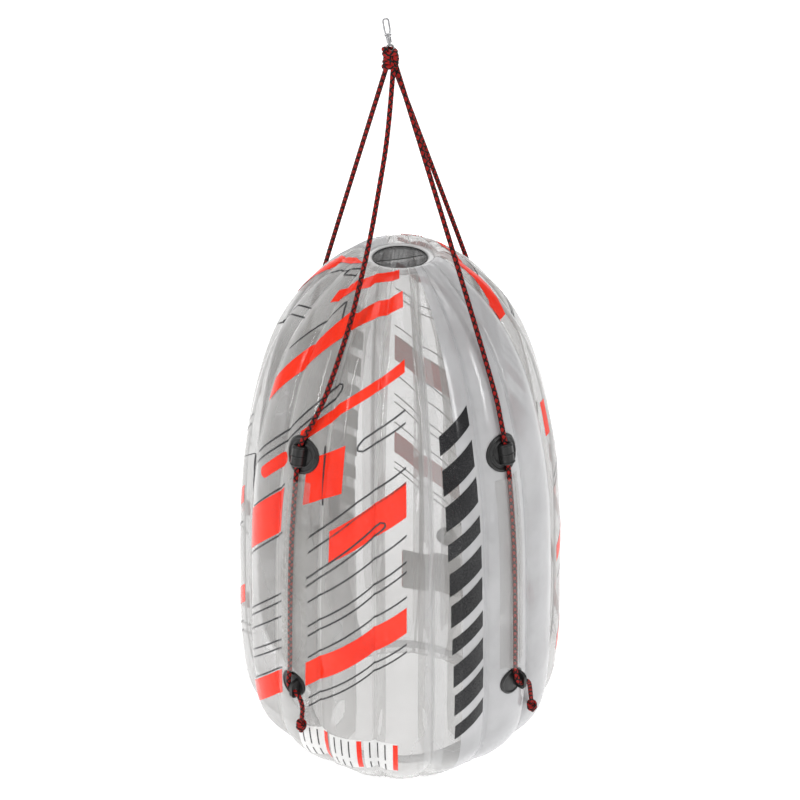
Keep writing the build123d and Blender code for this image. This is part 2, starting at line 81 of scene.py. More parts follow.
# %% A mesh from a grid of points
def grid_piece(name, points, uv=None, wrap=False):
    """A smooth mesh from rows of points. uv holds two numbers for each point."""
    rows, columns = points.shape[:2]
    last = columns if wrap else columns - 1
    faces, corners = [], []
    for i in range(rows - 1):
        for j in range(last):
            k = (j + 1) % columns
            quad = (i * columns + j, i * columns + k, (i + 1) * columns + k, (i + 1) * columns + j)
            faces.append(quad)
            if uv is not None:
                corners += [uv[i, j], uv[i, k], uv[i + 1, k], uv[i + 1, j]]
    mesh = bpy.data.meshes.new(name)
    mesh.from_pydata(points.reshape(-1, 3).tolist(), [], faces)
    if uv is not None:
        layer = mesh.uv_layers.new(name="film")
        layer.data.foreach_set("uv", np.array(corners, dtype=np.float32).ravel())
    mesh.polygons.foreach_set("use_smooth", [True] * len(mesh.polygons))
    piece = bpy.data.objects.new(name, mesh)
    bpy.context.scene.collection.objects.link(piece)
    return piece


# %% Tie a piece to the tube
def on_tube(piece, slot, *nodes):
    """Puts a piece on the tube's body, in place of the frame's nodes that it stands for."""
    if nodes:
        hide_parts(*nodes)
    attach(piece, "tube")


# %% Floor with a rising back
floor_half = 7.0
wall_radius = 2.5
bend = [math.radians(a) for a in range(0, 91, 6)]
sweep_line = [(-6.0, 0.0)] + [
    (4.0 + wall_radius * math.sin(a), wall_radius * (1 - math.cos(a))) for a in bend
] + [(4.0 + wall_radius, 9.0)]
stage_points = np.array([[(x, y, z) for x in (-floor_half, floor_half)] for y, z in sweep_line])
floor = grid_piece("studio_floor", stage_points)
print("floor", len(floor.data.vertices), "points")


# %% Lights
def soft_panel(name, place, aim, size, power, colour=(1.0, 1.0, 1.0)):
    data = bpy.data.lights.new(name, "AREA")
    data.shape = "RECTANGLE"
    data.size, data.size_y = size
    data.energy = power
    data.color = colour
    lamp = bpy.data.objects.new(name, data)
    lamp.location = place
    lamp.rotation_euler = (Vector(aim) - Vector(place)).to_track_quat("-Z", "Y").to_euler()
    bpy.context.scene.collection.objects.link(lamp)


soft_panel("panel_left", (-3.2, -2.2, 2.2), (0, 0, 0.8), (0.35, 2.6), 40)
soft_panel("panel_right", (2.9, -2.6, 2.4), (0, 0, 0.9), (0.3, 2.4), 32)
soft_panel("panel_above", (-0.4, -1.2, 4.6), (0, 0, 1.2), (2.4, 1.4), 36)
soft_panel("panel_behind", (0.6, 3.2, 3.4), (0, 0, 1.0), (2.4, 1.6), 24)
world = bpy.data.worlds.new("studio")
world.use_nodes = True
world.node_tree.nodes["Background"].inputs["Color"].default_value = (1.0, 1.0, 1.0, 1.0)
world.node_tree.nodes["Background"].inputs["Strength"].default_value = 0.50
bpy.context.scene.world = world
bpy.context.scene.view_settings.view_transform = "Standard"
bpy.context.scene.cycles.transparent_max_bounces = 32
print("four soft panels and a white room")

# %% [markdown]
# ## Harness ropes
# Each leg is one length of 12 mm braided rope. Its route is a short list of points set in
# the leg's own upright plane, as (right, out, height). A NURBS curve of order 3 turns them into one
# smooth line. Only the front left leg hangs slack.

# %% Rope routes
rope_diameter = 0.012
pad_azimuths = {"front_left": -40.0, "front_right": 40.0, "back_right": 140.0, "back_left": -140.0}
sleeve_run = [
    (0, 399.5, 1067),
    (0, 413, 995),
    (0, 436, 830),
    (0, 448, 670),
    (0, 456, 520),
    (0, 458, 466),
    (-1, 462, 430),
    (0, 469, 405),
]
taut_leg = [(0, 344, 1247), (0, 381, 1130)] + sleeve_run
slack_leg = [
    (23, 71, 1815),
    (29, 116, 1684),
    (40, 164, 1574),
    (46, 211, 1475),
    (52, 259, 1380),
    (50, 345, 1232),
    (34, 367, 1176),
    (14, 385, 1126),
    (1, 391, 1098),
] + sleeve_run
ear_run = [(10, 469.5, 388), (32, 469, 386)]
right_tail = ear_run + [(50, 464, 368), (62, 458, 338), (72, 453, 302), (82, 449, 266)]
left_tail = ear_run + [(40, 465, 364), (42, 461, 335), (38, 462, 306), (35, 461, 282)]
legs = {
    "front_left": ((-16, -12, 1953), slack_leg + left_tail),
    "front_right": ((-10, -3, 1955), taut_leg + right_tail),
    "back_right": ((-16, 8, 1953), taut_leg + left_tail),
    "back_left": ((-30, 8, 1953), taut_leg + right_tail),
}


def around(azimuth, out, height, right=0.0):
    """A point at a distance out from the axis, moved to the right in its upright plane."""
    a = math.radians(azimuth)
    return Vector(
        (
            out * math.sin(a) + right * math.cos(a),
            -out * math.cos(a) + right * math.sin(a),
            height,
        )
    )


def leg_route(name):
    start, points = legs[name]
    route = [Vector(start)] + [around(pad_azimuths[name], o, h, r) for r, o, h in points]
    return [p / 1000 for p in route]


# %% The smooth line of a route
def smooth_route(points, resolution=24):
    """Points along the NURBS curve that the route's points control."""
    data = bpy.data.curves.new("route", "CURVE")
    data.dimensions = "3D"
    data.resolution_u = resolution
    spline = data.splines.new("NURBS")
    spline.points.add(len(points) - 1)
    for control, p in zip(spline.points, points):
        control.co = (*p, 1.0)
    spline.order_u = 3
    spline.use_endpoint_u = True
    holder = bpy.data.objects.new("route", data)
    bpy.context.scene.collection.objects.link(holder)
    bpy.context.view_layer.update()
    line = bpy.data.meshes.new_from_object(holder)
    found = [v.co.copy() for v in line.vertices]
    bpy.data.objects.remove(holder)
    bpy.data.curves.remove(data)
    bpy.data.meshes.remove(line)
    return found


def evenly(points, step):
    """The same line with points at an even distance."""
    p = np.array(points, dtype=float)
    walked = np.concatenate([[0], np.cumsum(np.linalg.norm(np.diff(p, axis=0), axis=1))])
    count = max(4, int(round(walked[-1] / step)))
    at = np.linspace(0, walked[-1], count + 1)
    return np.stack([np.interp(at, walked, p[:, k]) for k in range(3)], axis=1), walked[-1]


leg_lines = {name: smooth_route(leg_route(name)) for name in legs}
for name, line in leg_lines.items():
    print(name, "leg", round(evenly(line, 0.01)[1], 3), "m")

# %% [markdown]
# ## Braid
# A braid is two sets of plaits that wind opposite ways and pass over and under each other. The
# rope is one tube whose surface rises over each plait, so the braid is in the mesh. The mesh's UV
# counts plaits round the rope and along it, and the finish uses that to lay long red flecks along
# one set of them.

# %% A braided tube
plaits = 6
plait_size = math.pi * rope_diameter / plaits


def carried_frames(line):
    """Two directions across a line at each point, carried along without twist."""
    along = np.gradient(line, axis=0)
    along /= np.linalg.norm(along, axis=1)[:, None]
    side = np.cross(along[0], (0.3, 0.2, 1.0))
    sides = []
    for t in along:
        side = side - t * np.dot(side, t)
        side /= np.linalg.norm(side)
        sides.append(side)
    sides = np.array(sides)
    return sides, np.cross(along, sides)


def braided_tube(name, points, radius, step=0.0016, sectors=24, relief=0.08):
    """A tube round a line, with the relief of a braid, closed at both ends."""
    line, _ = evenly(points, step)
    first, second = carried_frames(line)
    walked = np.concatenate([[0], np.cumsum(np.linalg.norm(np.diff(line, axis=0), axis=1))])
    turn = np.arange(sectors + 1) / sectors
    u, v = np.meshgrid(turn * plaits, walked / plait_size)
    right_hand, left_hand = u + v, u - v
    on_top = (np.floor(right_hand) + np.floor(left_hand)) % 2
    crown = np.where(on_top < 0.5, right_hand % 1, left_hand % 1)
    swell = radius * (1 - relief + 1.5 * relief * np.sin(np.pi * crown))
    angle = turn * 2 * np.pi
    ring = np.cos(angle)[None, :, None] * first[:, None] + np.sin(angle)[None, :, None] * second[:, None]
    points3 = line[:, None] + ring * swell[:, :, None]
    rows = len(line)
    verts = points3[:, :sectors].reshape(-1, 3).tolist()
    faces, corners = [], []
    for i in range(rows - 1):
        for j in range(sectors):
            k = (j + 1) % sectors
            quad = (i * sectors + j, i * sectors + k, (i + 1) * sectors + k, (i + 1) * sectors + j)
            faces.append(quad)
            corners += [(u[i, j], v[i, j]), (u[i, j + 1], v[i, j]),
                        (u[i, j + 1], v[i + 1, j]), (u[i, j], v[i + 1, j])]
    for ring_start, order in [(0, -1), ((rows - 1) * sectors, 1)]:
        cap = [ring_start + j for j in range(sectors)][::order]
        faces.append(cap)
        corners += [(0.5, 0.5)] * sectors
    mesh = bpy.data.meshes.new(name)
    mesh.from_pydata(verts, [], faces)
    layer = mesh.uv_layers.new(name="plaits")
    layer.data.foreach_set("uv", np.array(corners, dtype=np.float32).ravel())
    mesh.polygons.foreach_set("use_smooth", [True] * len(mesh.polygons))
    piece = bpy.data.objects.new(name, mesh)
    bpy.context.scene.collection.objects.link(piece)
    return piece


ropes = {}
for name, line in leg_lines.items():
    rope = braided_tube(f"rope_{name}", line, rope_diameter / 2)
    on_tube(rope, "rope", f"harness_rope_{name}")
    ropes[name] = rope
print("ropes", [len(rope.data.vertices) for rope in ropes.values()])

# %% [markdown]
# ## Stopper knots
# A rope's tail is wrapped round itself twice and pulled tight, so it can't slip back through its
# pad. A short helix of the same braid makes the wraps, and a stub shows the cut end.


# %% Wraps round a line
def wraps(centre, axis, radius, turns, rise, start=0.0, tilt=0.0):
    """Points of a rope wound round an axis, with its two ends tucked in."""
    axis = Vector(axis).normalized()
    side = axis.orthogonal().normalized()
    other = axis.cross(side)
    axis = (axis + tilt * side).normalized()
    points = []
    count = int(turns * 14)
    for i in range(-3, count + 4):
        t = min(max(i / count, -0.2), 1.2)
        tuck = min(1.0, 1.0 - 0.5 * max(0, -i, i - count) / 3)
        a = start + t * turns * 2 * math.pi
        offset = (side * math.cos(a) + other * math.sin(a)) * radius * tuck
        points.append(Vector(centre) + offset + axis * rise * turns * (t - 0.5))
    return points


knot_rope = 0.0056
stoppers = {}
for name, line in leg_lines.items():
    end, before = line[-1], line[-12]
    along = (end - before).normalized()
    centre = end + along * 0.0075
    coil = wraps(centre, along, 0.0085, 2.4, 0.0088, start=0.7)
    knot = braided_tube(f"stopper_{name}", coil, knot_rope, step=0.0012, sectors=20)
    stub_line = [end + along * d for d in (-0.012, 0.004, 0.018, 0.0305)]
    stub = braided_tube(f"rope_end_{name}", stub_line, 0.0058, step=0.0012)
    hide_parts(f"stopper_knot_{name}")
    for piece in (knot, stub):
        on_tube(piece, "rope")
    stoppers[name] = (knot, stub)
print("stopper knots", len(stoppers))

# %% [markdown]
# ## Harness knot
# The four legs are gathered and tied together in one big knot that hangs under the swivel. Wraps of
# rope lie round the bundle, two of them tilted, and one loop crosses over them, which gives the
# lumpy look of a real tied knot.

# %% Harness knot
knot_low, knot_high = (Vector(corner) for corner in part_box("apex_knot"))
knot_middle = (knot_low + knot_high) / 2
knot_turns = [
    wraps(knot_middle + Vector((0, 0, -0.0105)), (0, 0, 1), 0.0140, 1.9, 0.0112, start=0.4, tilt=0.25),
    wraps(knot_middle + Vector((0, 0, 0.0125)), (0, 0, 1), 0.0138, 1.9, 0.0112, start=2.6, tilt=-0.3),
    wraps(knot_middle + Vector((0.001, 0.0, 0.001)), (0.8, 0.25, 0.35), 0.0165, 1.3, 0.010, start=1.2),
]
knot_pieces = []
for number, points in enumerate(knot_turns):
    piece = braided_tube(f"harness_knot_{number + 1}", points, 0.0058, step=0.0012, sectors=20)
    on_tube(piece, "rope")
    knot_pieces.append(piece)
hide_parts("apex_knot")
print("harness knot", [round(v, 3) for v in knot_middle])

for name, rope in ropes.items():
    line, length = evenly(leg_lines[name], 0.004)

# %% [markdown]
# ## Shape of the outer film
# The film's outline is one smooth line through given points, from the weld at the wide end to
# the weld at the nose. A cubic spline with set end directions draws it. Round the tube the film
# bulges between its eighteen seams, and small ripples lie in it where the film is gathered.

# %% Outline
tube_length = 1.476
max_radius = 0.450
lobe_half = 10.0
seam_depth = 0.015
seam_runout = 0.150
flank_shares = [
    (0.707, 0.023),
    (0.798, 0.050),
    (0.889, 0.082),
    (0.956, 0.1165),
    (0.991, 0.169),
    (1.0, 0.230),
    (0.992, 0.339),
    (0.967, 0.498),
    (0.924, 0.627),
    (0.838, 0.747),
    (0.722, 0.846),
    (0.576, 0.916),
    (0.417, 0.965),
    (0.311, 0.988),
]
mouth_weld, contact = (0.262, 0.034), (0.276, 0.0)
crest, nose_weld = (0.100, 1.476), (0.084, 1.462)


def spline_through(points, first, last, steps=60):
    """Points on a cubic spline that leaves and arrives in set directions."""
    p = np.array(points, dtype=float)
    gap = np.linalg.norm(np.diff(p, axis=0), axis=1)
    size = len(p)
    pull, load = np.eye(size), np.zeros((size, 2))
    load[0], load[-1] = first, last
    for i in range(1, size - 1):
        before, after = gap[i - 1], gap[i]
        pull[i, i - 1 : i + 2] = after, 2 * (before + after), before
        rise = after * (p[i] - p[i - 1]) / before + before * (p[i + 1] - p[i]) / after
        load[i] = 3 * rise
    slope = np.linalg.solve(pull, load)
    out = []
    for i in range(size - 1):
        t = np.linspace(0, 1, steps, endpoint=False)[:, None]
        out.append(
            (2 * t**3 - 3 * t**2 + 1) * p[i]
            + (t**3 - 2 * t**2 + t) * gap[i] * slope[i]
            + (3 * t**2 - 2 * t**3) * p[i + 1]
            + (t**3 - t**2) * gap[i] * slope[i + 1]
        )
    return np.concatenate(out)


flank_points = [(max_radius * r, tube_length * z) for r, z in flank_shares]
outline = np.concatenate(
    [
        spline_through([mouth_weld, contact], (0, -1), (1, 0)),
        spline_through([contact, *flank_points, crest], (1, 0), (-1, 0)),
        spline_through([crest, nose_weld], (-1, 0), (0, -1)),
        [nose_weld],
    ]
)
outline_arc = np.concatenate([[0], np.cumsum(np.linalg.norm(np.diff(outline, axis=0), axis=1))])
outline_length = outline_arc[-1]
outline_along = np.gradient(outline, outline_arc, axis=0)
outline_along /= np.linalg.norm(outline_along, axis=1)[:, None]
print("outline", round(outline_length, 3), "m")


# %% The film at an azimuth and a distance along the outline
def along_at(height):
    """Distance along the outline at which the flank has this height."""
    low, high = np.argmin(outline[:, 1]), np.argmax(outline[:, 1])
    return np.interp(height, outline[low:high, 1], outline_arc[low:high])


def ripples(azimuth, along):
    """Small folds: gathers at both ends, and slanting pulls beside each seam."""
    across = ((azimuth + lobe_half) % (2 * lobe_half) - lobe_half) / lobe_half
    lobe = np.round(azimuth / 20)
    end = np.minimum(along, outline_length - along)
    gather = np.exp(-end / 0.16) * np.clip(end / 0.03, 0, 1)
    folds = np.sin(azimuth * 1.75 + 2.1 * lobe) + 0.6 * np.sin(azimuth * 3.3 + 1.3 * lobe)
    beside = np.abs(across) ** 3 * np.clip(end / 0.08, 0, 1)
    pulls = np.sin(along * 118 + 26 * across + 1.9 * lobe) * (0.6 + 0.4 * np.sin(along * 23 + lobe))
    swell = np.sin(along * 17 + 2.7 * lobe) * np.sin(along * 7.3 + 1.1 * lobe) * (1 - across**2)
    return 0.0011 * gather * folds + 0.0007 * beside * pulls + 0.0009 * swell * np.clip(end / 0.1, 0, 1)


def film_point(azimuth, along, lift=0.0, rippled=1.0):
    """Points of the outer film, moved outward by lift. Azimuth and along are arrays."""
    azimuth, along = np.broadcast_arrays(np.asarray(azimuth, float), np.asarray(along, float))
    radius = np.interp(along, outline_arc, outline[:, 0])
    height = np.interp(along, outline_arc, outline[:, 1])
    ahead_r = np.interp(along, outline_arc, outline_along[:, 0])
    ahead_z = np.interp(along, outline_arc, outline_along[:, 1])
    across = ((azimuth + lobe_half) % (2 * lobe_half) - lobe_half) / lobe_half
    run = np.clip(np.minimum(along, outline_length - along) / seam_runout, 0, 1)
    depth = seam_depth * run**2 * (3 - 2 * run) * np.sqrt(radius / max_radius)
    crease = 0.0022 * run * np.exp(-(((1 - np.abs(across)) / 0.07) ** 2))
    out = lift - depth * across**2 - crease + rippled * ripples(azimuth, along)
    radius = radius + ahead_z * out
    height = height - ahead_r * out
    a = np.radians(azimuth)
    return np.stack([radius * np.sin(a), -radius * np.cos(a), height], axis=-1)


# %% [markdown]
# ## Outer film
# The film is cut in panels: clear film that carries the print, and a frosted panel on each side of
# it. The wanted look is thin film under tension, so each panel is a single sheet: a grid that
# follows the lobes closely, with its columns crowded at the seams so that the creases stay sharp.

# %% Columns and rows
lobe_columns = np.array(
    [-1, -0.985, -0.96, -0.92, -0.86, -0.76, -0.64, -0.5, -0.34, -0.17, 0, 0.17, 0.34, 0.5, 0.64,
     0.76, 0.86, 0.92, 0.96, 0.985]
)


def azimuths_between(first, last):
    """Columns from one azimuth to another, crowded at every seam."""
    every = np.concatenate([20 * n + lobe_half * lobe_columns for n in range(-10, 24)])
    inside = every[(every > first + 0.05) & (every < last - 0.05)]
    return np.concatenate([[first], inside, [last]])


def crowded_rows(count):
    t = np.linspace(0, 1, count)
    return outline_length * (t - 0.11 * np.sin(2 * np.pi * t))


def mesh_piece(name, verts, faces, uv=None):
    """A smooth mesh from points and faces, with points that no face uses left out."""
    used = sorted({v for face in faces for v in face})
    place = {v: i for i, v in enumerate(used)}
    mesh = bpy.data.meshes.new(name)
    mesh.from_pydata([tuple(verts[v]) for v in used], [], [[place[v] for v in f] for f in faces])
    if uv is not None:
        layer = mesh.uv_layers.new(name="film")
        flat = [uv[v] for face in faces for v in face]
        layer.data.foreach_set("uv", np.array(flat, dtype=np.float32).ravel())
    mesh.polygons.foreach_set("use_smooth", [True] * len(mesh.polygons))
    piece = bpy.data.objects.new(name, mesh)
    bpy.context.scene.collection.objects.link(piece)
    return piece


valve_azimuth, valve_height, valve_hole = 160.0, 0.330, 0.032
valve_centre = np.array(film_point(valve_azimuth, float(along_at(valve_height)), rippled=0.0))


def pierced(name, points, uv):
    """A film panel with the faces left out that the valve's flange covers."""
    columns = points.shape[1]
    away = np.linalg.norm(points - valve_centre, axis=-1) > valve_hole
    faces = []
    for i in range(points.shape[0] - 1):
        for j in range(columns - 1):
            quad = ((i, j), (i, j + 1), (i + 1, j + 1), (i + 1, j))
            if any(away[q] for q in quad):
                faces.append([r * columns + c for r, c in quad])
    return mesh_piece(name, points.reshape(-1, 3), faces, uv.reshape(-1, 2))


film_rows = crowded_rows(300)
film_panels = {
    "film_clear_front": (-110, 20, ["skin_front_left", "skin_left"]),
    "film_frosted_right": (20, 70, ["skin_front_right", "skin_right"]),
    "film_clear_back": (70, 200, ["skin_back_right"]),
    "film_frosted_left": (200, 250, ["skin_back_left"]),
}
film_pieces = {}
for name, (first, last, nodes) in film_panels.items():
    azimuth, along = np.meshgrid(azimuths_between(first, last), film_rows)
    uv = np.stack([azimuth / 20, along], axis=-1)
    points = film_point(azimuth, along)
    if name == "film_clear_back":
        piece = pierced(name, points, uv)
    else:
        piece = grid_piece(name, points, uv)
    on_tube(piece, "printed_film", *nodes)
    film_pieces[name] = piece
print("film panels", {name: len(p.data.vertices) for name, p in film_pieces.items()})

# %% [markdown]
# ## Tunnel and webs
# The rider's tunnel is the inner wall, tied to the outer film by flat webs. Air presses each strip
# of the tunnel inward between its two welds, so it is a shallow lobe too. Webs stay flat because
# they are pulled tight, and round holes in them let the air pass.

# %% Tunnel film
tunnel_line = np.array(
    [
        (0.2578, 0.060),
        (0.245, 0.200),
        (0.245, 0.900),
        (0.2151, 1.101),
        (0.1649, 1.300),
        (0.1049, 1.420),
        (0.080, 1.450),
    ]
)
film_thickness = 0.0012


def tunnel_radius(height):
    return np.interp(height, tunnel_line[:, 1], tunnel_line[:, 0])


def tunnel_point(azimuth, height, lift=0.0):
    """Points of the tunnel's film. It bulges inward, except under the grab handles."""
    across = ((azimuth + lobe_half) % (2 * lobe_half) - lobe_half) / lobe_half
    flat = tunnel_radius(height) / np.cos(np.radians(lobe_half * across))
    near_handle = np.exp(-(((height - 0.765) / 0.19) ** 4)) * (np.abs(np.abs(azimuth) - 80) < 10)
    ends = np.clip((height - 0.06) / 0.1, 0, 1) * np.clip((1.45 - height) / 0.1, 0, 1)
    bulge = 0.007 * (1 - across**2) * ends * (1 - near_handle)
    radius = flat - bulge - lift
    a = np.radians(azimuth)
    return np.stack([radius * np.sin(a), -radius * np.cos(a), height], axis=-1)


tunnel_columns = np.concatenate(
    [20 * n + lobe_half * np.array([-1, -0.93, -0.7, -0.35, 0, 0.35, 0.7, 0.93]) for n in range(18)]
)
tunnel_columns = np.where(tunnel_columns > 180, tunnel_columns - 360, tunnel_columns)
for name, low, high in [("tunnel_film", 0.060, 0.900), ("nose_film", 0.900, 1.450)]:
    heights = np.linspace(low, high, 90)
    azimuth, height = np.meshgrid(tunnel_columns, heights)
    piece = grid_piece(name, tunnel_point(azimuth, height), wrap=True)
    on_tube(piece, "clear_film", {"tunnel_film": "tunnel_liner", "nose_film": "nose_liner"}[name])
    film_pieces[name] = piece
print("tunnel", len(film_pieces["tunnel_film"].data.vertices), "points")

# %% Webs
web_rows, web_columns = 130, 18
web_hole_radius = 0.034
web_holes = [tube_length * (0.17 + 0.18 * i) for i in range(4)]


def web_points(azimuth):
    """One web as verts and faces: a grid with its holes drawn round."""
    first, last = along_at(0.110), along_at(tube_length - 0.050)
    along = np.linspace(first, last, web_rows)
    outer = film_point(lobe_half, along, lift=-0.0025, rippled=0.0)
    outer_radius = np.linalg.norm(outer[:, :2], axis=1)
    height = outer[:, 2]
    inner_radius = (tunnel_radius(height) + film_thickness) / math.cos(math.radians(lobe_half))
    share = np.linspace(0, 1, web_columns)
    radius = inner_radius[:, None] + (outer_radius - inner_radius)[:, None] * share
    level = np.repeat(height[:, None], web_columns, axis=1)
    inside = np.zeros(radius.shape, dtype=bool)
    for hole in web_holes:
        wall = np.interp(along_at(hole), outline_arc, outline[:, 0])
        centre = ((wall + 0.245) / 2, hole)
        away = np.hypot(radius - centre[0], level - centre[1])
        inside |= away < web_hole_radius - 0.004
        close = (away >= web_hole_radius - 0.004) & (away < web_hole_radius + 0.004)
        scale = np.where(close, web_hole_radius / np.maximum(away, 1e-6), 1.0)
        radius = centre[0] + (radius - centre[0]) * scale
        level = centre[1] + (level - centre[1]) * scale
    a = math.radians(azimuth)
    verts = np.stack([radius * math.sin(a), -radius * math.cos(a), level], axis=-1)
    faces = []
    for i in range(web_rows - 1):
        for j in range(web_columns - 1):
            quad = [(i, j), (i, j + 1), (i + 1, j + 1), (i + 1, j)]
            if not any(inside[q] for q in quad):
                faces.append([q[0] * web_columns + q[1] for q in quad])
    return verts.reshape(-1, 3), faces


for group in range(3):
    verts, faces = [], []
    for i in range(6):
        more, quads = web_points(lobe_half + (group * 6 + i) * 20)
        start = sum(len(v) for v in verts)
        verts.append(more)
        faces += [[start + v for v in quad] for quad in quads]
    piece = mesh_piece(f"webs_{'abc'[group]}", np.concatenate(verts), faces)
    on_tube(piece, "clear_film", f"baffles_{'abc'[group]}")
    film_pieces[f"webs_{'abc'[group]}"] = piece
print("webs", 18)

# %% [markdown]
# ## Welded strips and rope sleeves
# Where two panels meet, a strip of a second film covers the weld. Each rope runs down a lobe in a
# sleeve: a strip welded along both its edges, with a hump between them. Both lie on the film, so
# both are patches of the same surface, lifted a little.


# %% Patches that lie on the film
def patch(name, azimuths, along, lifts, node=None, slot="welded_film"):
    """A film patch with one lift for each column."""
    azimuth, line = np.meshgrid(azimuths, along)
    points = film_point(azimuth, line, np.broadcast_to(lifts, azimuth.shape), rippled=0.4)
    piece = grid_piece(name, points, np.stack([azimuth / 20, line], axis=-1))
    if node:
        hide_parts(node)
    on_tube(piece, slot)
    film_pieces[name] = piece
    return piece


strip_along = np.linspace(along_at(0.150), along_at(tube_length - 0.110), 220)
for side, middle in [("front", 10.0), ("back", 190.0)]:
    columns = middle + np.array([-2.9, -2.2, -1.2, -0.5, -0.1, 0.1, 0.6, 1.3, 2.2, 3.0, 3.8])
    patch(f"weld_band_{side}", columns, strip_along, 0.0022, f"weld_strip_{side}")

sleeve_hump = 0.0205
sleeve_columns = np.array([-5.4, -4.6, -3.8, -3.1, -2.7, -2.3, -1.9, -1.5, -1.1, -0.7, -0.35, 0])
sleeve_columns = np.concatenate([sleeve_columns, -sleeve_columns[-2::-1]])
hump_shape = np.clip(1 - (np.abs(sleeve_columns) / 2.9) ** 2.2, 0, 1) ** 0.9
sleeve_along = np.linspace(along_at(0.445), along_at(1.003), 200)
for name, azimuth in pad_azimuths.items():
    puckers = 0.0006 * np.sin(np.arange(200)[:, None] * 0.55 + sleeve_columns * 1.3)
    lifts = 0.0016 + sleeve_hump * hump_shape + puckers * (1 - hump_shape)
    patch(f"sleeve_{name}", azimuth + sleeve_columns, sleeve_along, lifts,
          f"rope_sleeve_{name}", "clear_film")
print("strips and sleeves", 6)

# %% [markdown]
# ## Rings at the two ends
# Both ends of the film are folded over and welded flat into a hem. A lathe shape gives a hem with
# soft edges: a small profile turned round the axis.


# %% Hems
def lathe(name, profile, sectors=180, wave=0.0):
    """A closed profile of (radius, height) turned round the axis."""
    turn = np.linspace(0, 2 * np.pi, sectors, endpoint=False)
    shape = np.array(profile, dtype=float)
    rings = []
    for radius, height in np.concatenate([shape, shape[:1]]):
        r = radius + wave * np.sin(18 * turn) * 0.3 + wave * 0.15 * np.sin(41 * turn)
        rings.append(np.stack([r * np.sin(turn), -r * np.cos(turn), np.full(sectors, height)], -1))
    return grid_piece(name, np.array(rings), wrap=True)


def soft_section(inner, outer, low, high, corner):
    """A rectangle with rounded corners, as (radius, height) points."""
    points = []
    for cx, cz, start in [
        (outer - corner, low + corner, -90),
        (outer - corner, high - corner, 0),
        (inner + corner, high - corner, 90),
        (inner + corner, low + corner, 180),
    ]:
        for step in range(5):
            a = math.radians(start + 22.5 * step)
            points.append((cx + corner * math.cos(a), cz + corner * math.sin(a)))
    return points


hem = lathe("mouth_hem", soft_section(0.2570, 0.2630, 0.034, 0.060, 0.0022), wave=0.0006)
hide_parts("mouth_weld_ring")
collar = lathe("nose_collar_hem", soft_section(0.0700, 0.0880, 1.4500, 1.4630, 0.0050), wave=0.0006)
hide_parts("nose_collar")
for piece in (hem, collar):
    on_tube(piece, "welded_film")
print("hems", 2)

# %% [markdown]
# ## Nose net
# A round piece of woven net closes the nose, so water drains but nobody's arm goes through. Every
# thread is modelled as a thin four-sided yarn that goes over and under the ones that it crosses. One
# fold runs across the net, and a black cord binds its edge.

# %% Net
net_radius = 0.0685
net_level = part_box("nose_mesh")[1][2] - 0.0006
net_pitch = 0.0034
yarn = 0.00062


def net_sag(x, y):
    """The net hangs a little, and a fold stands up across it."""
    inside = 1 - (x * x + y * y) / net_radius**2
    fold = np.exp(-(((y + 0.004 - 0.30 * x) / 0.007) ** 2))
    return -0.004 * inside + 0.0032 * fold * np.clip(2.2 * inside, 0, 1)


net_verts, net_faces = [], []
for direction in (0, 1):
    lines = int(net_radius / net_pitch)
    for n in range(-lines, lines + 1):
        offset = n * net_pitch
        reach = math.sqrt(max(net_radius**2 - offset**2, 0))
        if reach < 0.004:
            continue
        t = np.arange(-reach, reach + net_pitch / 4, net_pitch / 2)
        weave = 0.0004 * np.cos(np.pi * (t / net_pitch + n + direction))
        x, y = (t, np.full(t.shape, offset)) if direction == 0 else (np.full(t.shape, offset), t)
        z = net_level + net_sag(x, y) + weave
        side = np.array([0, 1, 0]) if direction == 0 else np.array([1, 0, 0])
        middle = np.stack([x, y, z], -1)
        start = len(net_verts)
        for i, m in enumerate(middle):
            net_verts += [m + yarn * side, m + (0, 0, yarn * 0.8), m - yarn * side, m - (0, 0, yarn * 0.8)]
            if i:
                k = start + 4 * i
                for s in range(4):
                    net_faces.append((k - 4 + s, k - 4 + (s + 1) % 4, k + (s + 1) % 4, k + s))
net = mesh_piece("nose_net", net_verts, net_faces)
on_tube(net, "net", "nose_mesh")
fold_x = np.linspace(-0.062, 0.060, 60)
fold_y = 0.30 * fold_x - 0.004
fold_line = [(x, y, net_level + net_sag(x, y) + 0.0008) for x, y in zip(fold_x, fold_y)]
print("net threads", len(net_verts) // 4)


# %% A plain round tube
def round_tube(name, points, radius, sectors=12):
    line = np.array(points, dtype=float)
    first, second = carried_frames(line)
    angle = np.linspace(0, 2 * np.pi, sectors, endpoint=False)
    ring = np.cos(angle)[None, :, None] * first[:, None] + np.sin(angle)[None, :, None] * second[:, None]
    return grid_piece(name, line[:, None] + ring * radius, wrap=True)


fold_seam = round_tube("net_fold_seam", fold_line, 0.0011, sectors=8)
on_tube(fold_seam, "edge_cord")
print("fold seam", len(fold_seam.data.vertices))

# %% [markdown]
# ## Print
# The print is ink on the film: slanting orange bars, thin dark lines in pairs, a column of bold
# slanting bars on the frosted panel and plain label patches near the ground. Ink is a shape with a
# sharp edge, so each stroke is a patch of the film's own surface, lifted half a millimetre. The
# tube looks the same from behind, so each stroke is laid twice, half a turn apart.

# %% A stroke of ink
ink_lift, gather_lift, outline_lift, label_lift = 0.0006, 0.0022, 0.0010, 0.0012
stroke_step = 0.0045
inks = {"orange": [], "line": [], "black": [], "label": []}


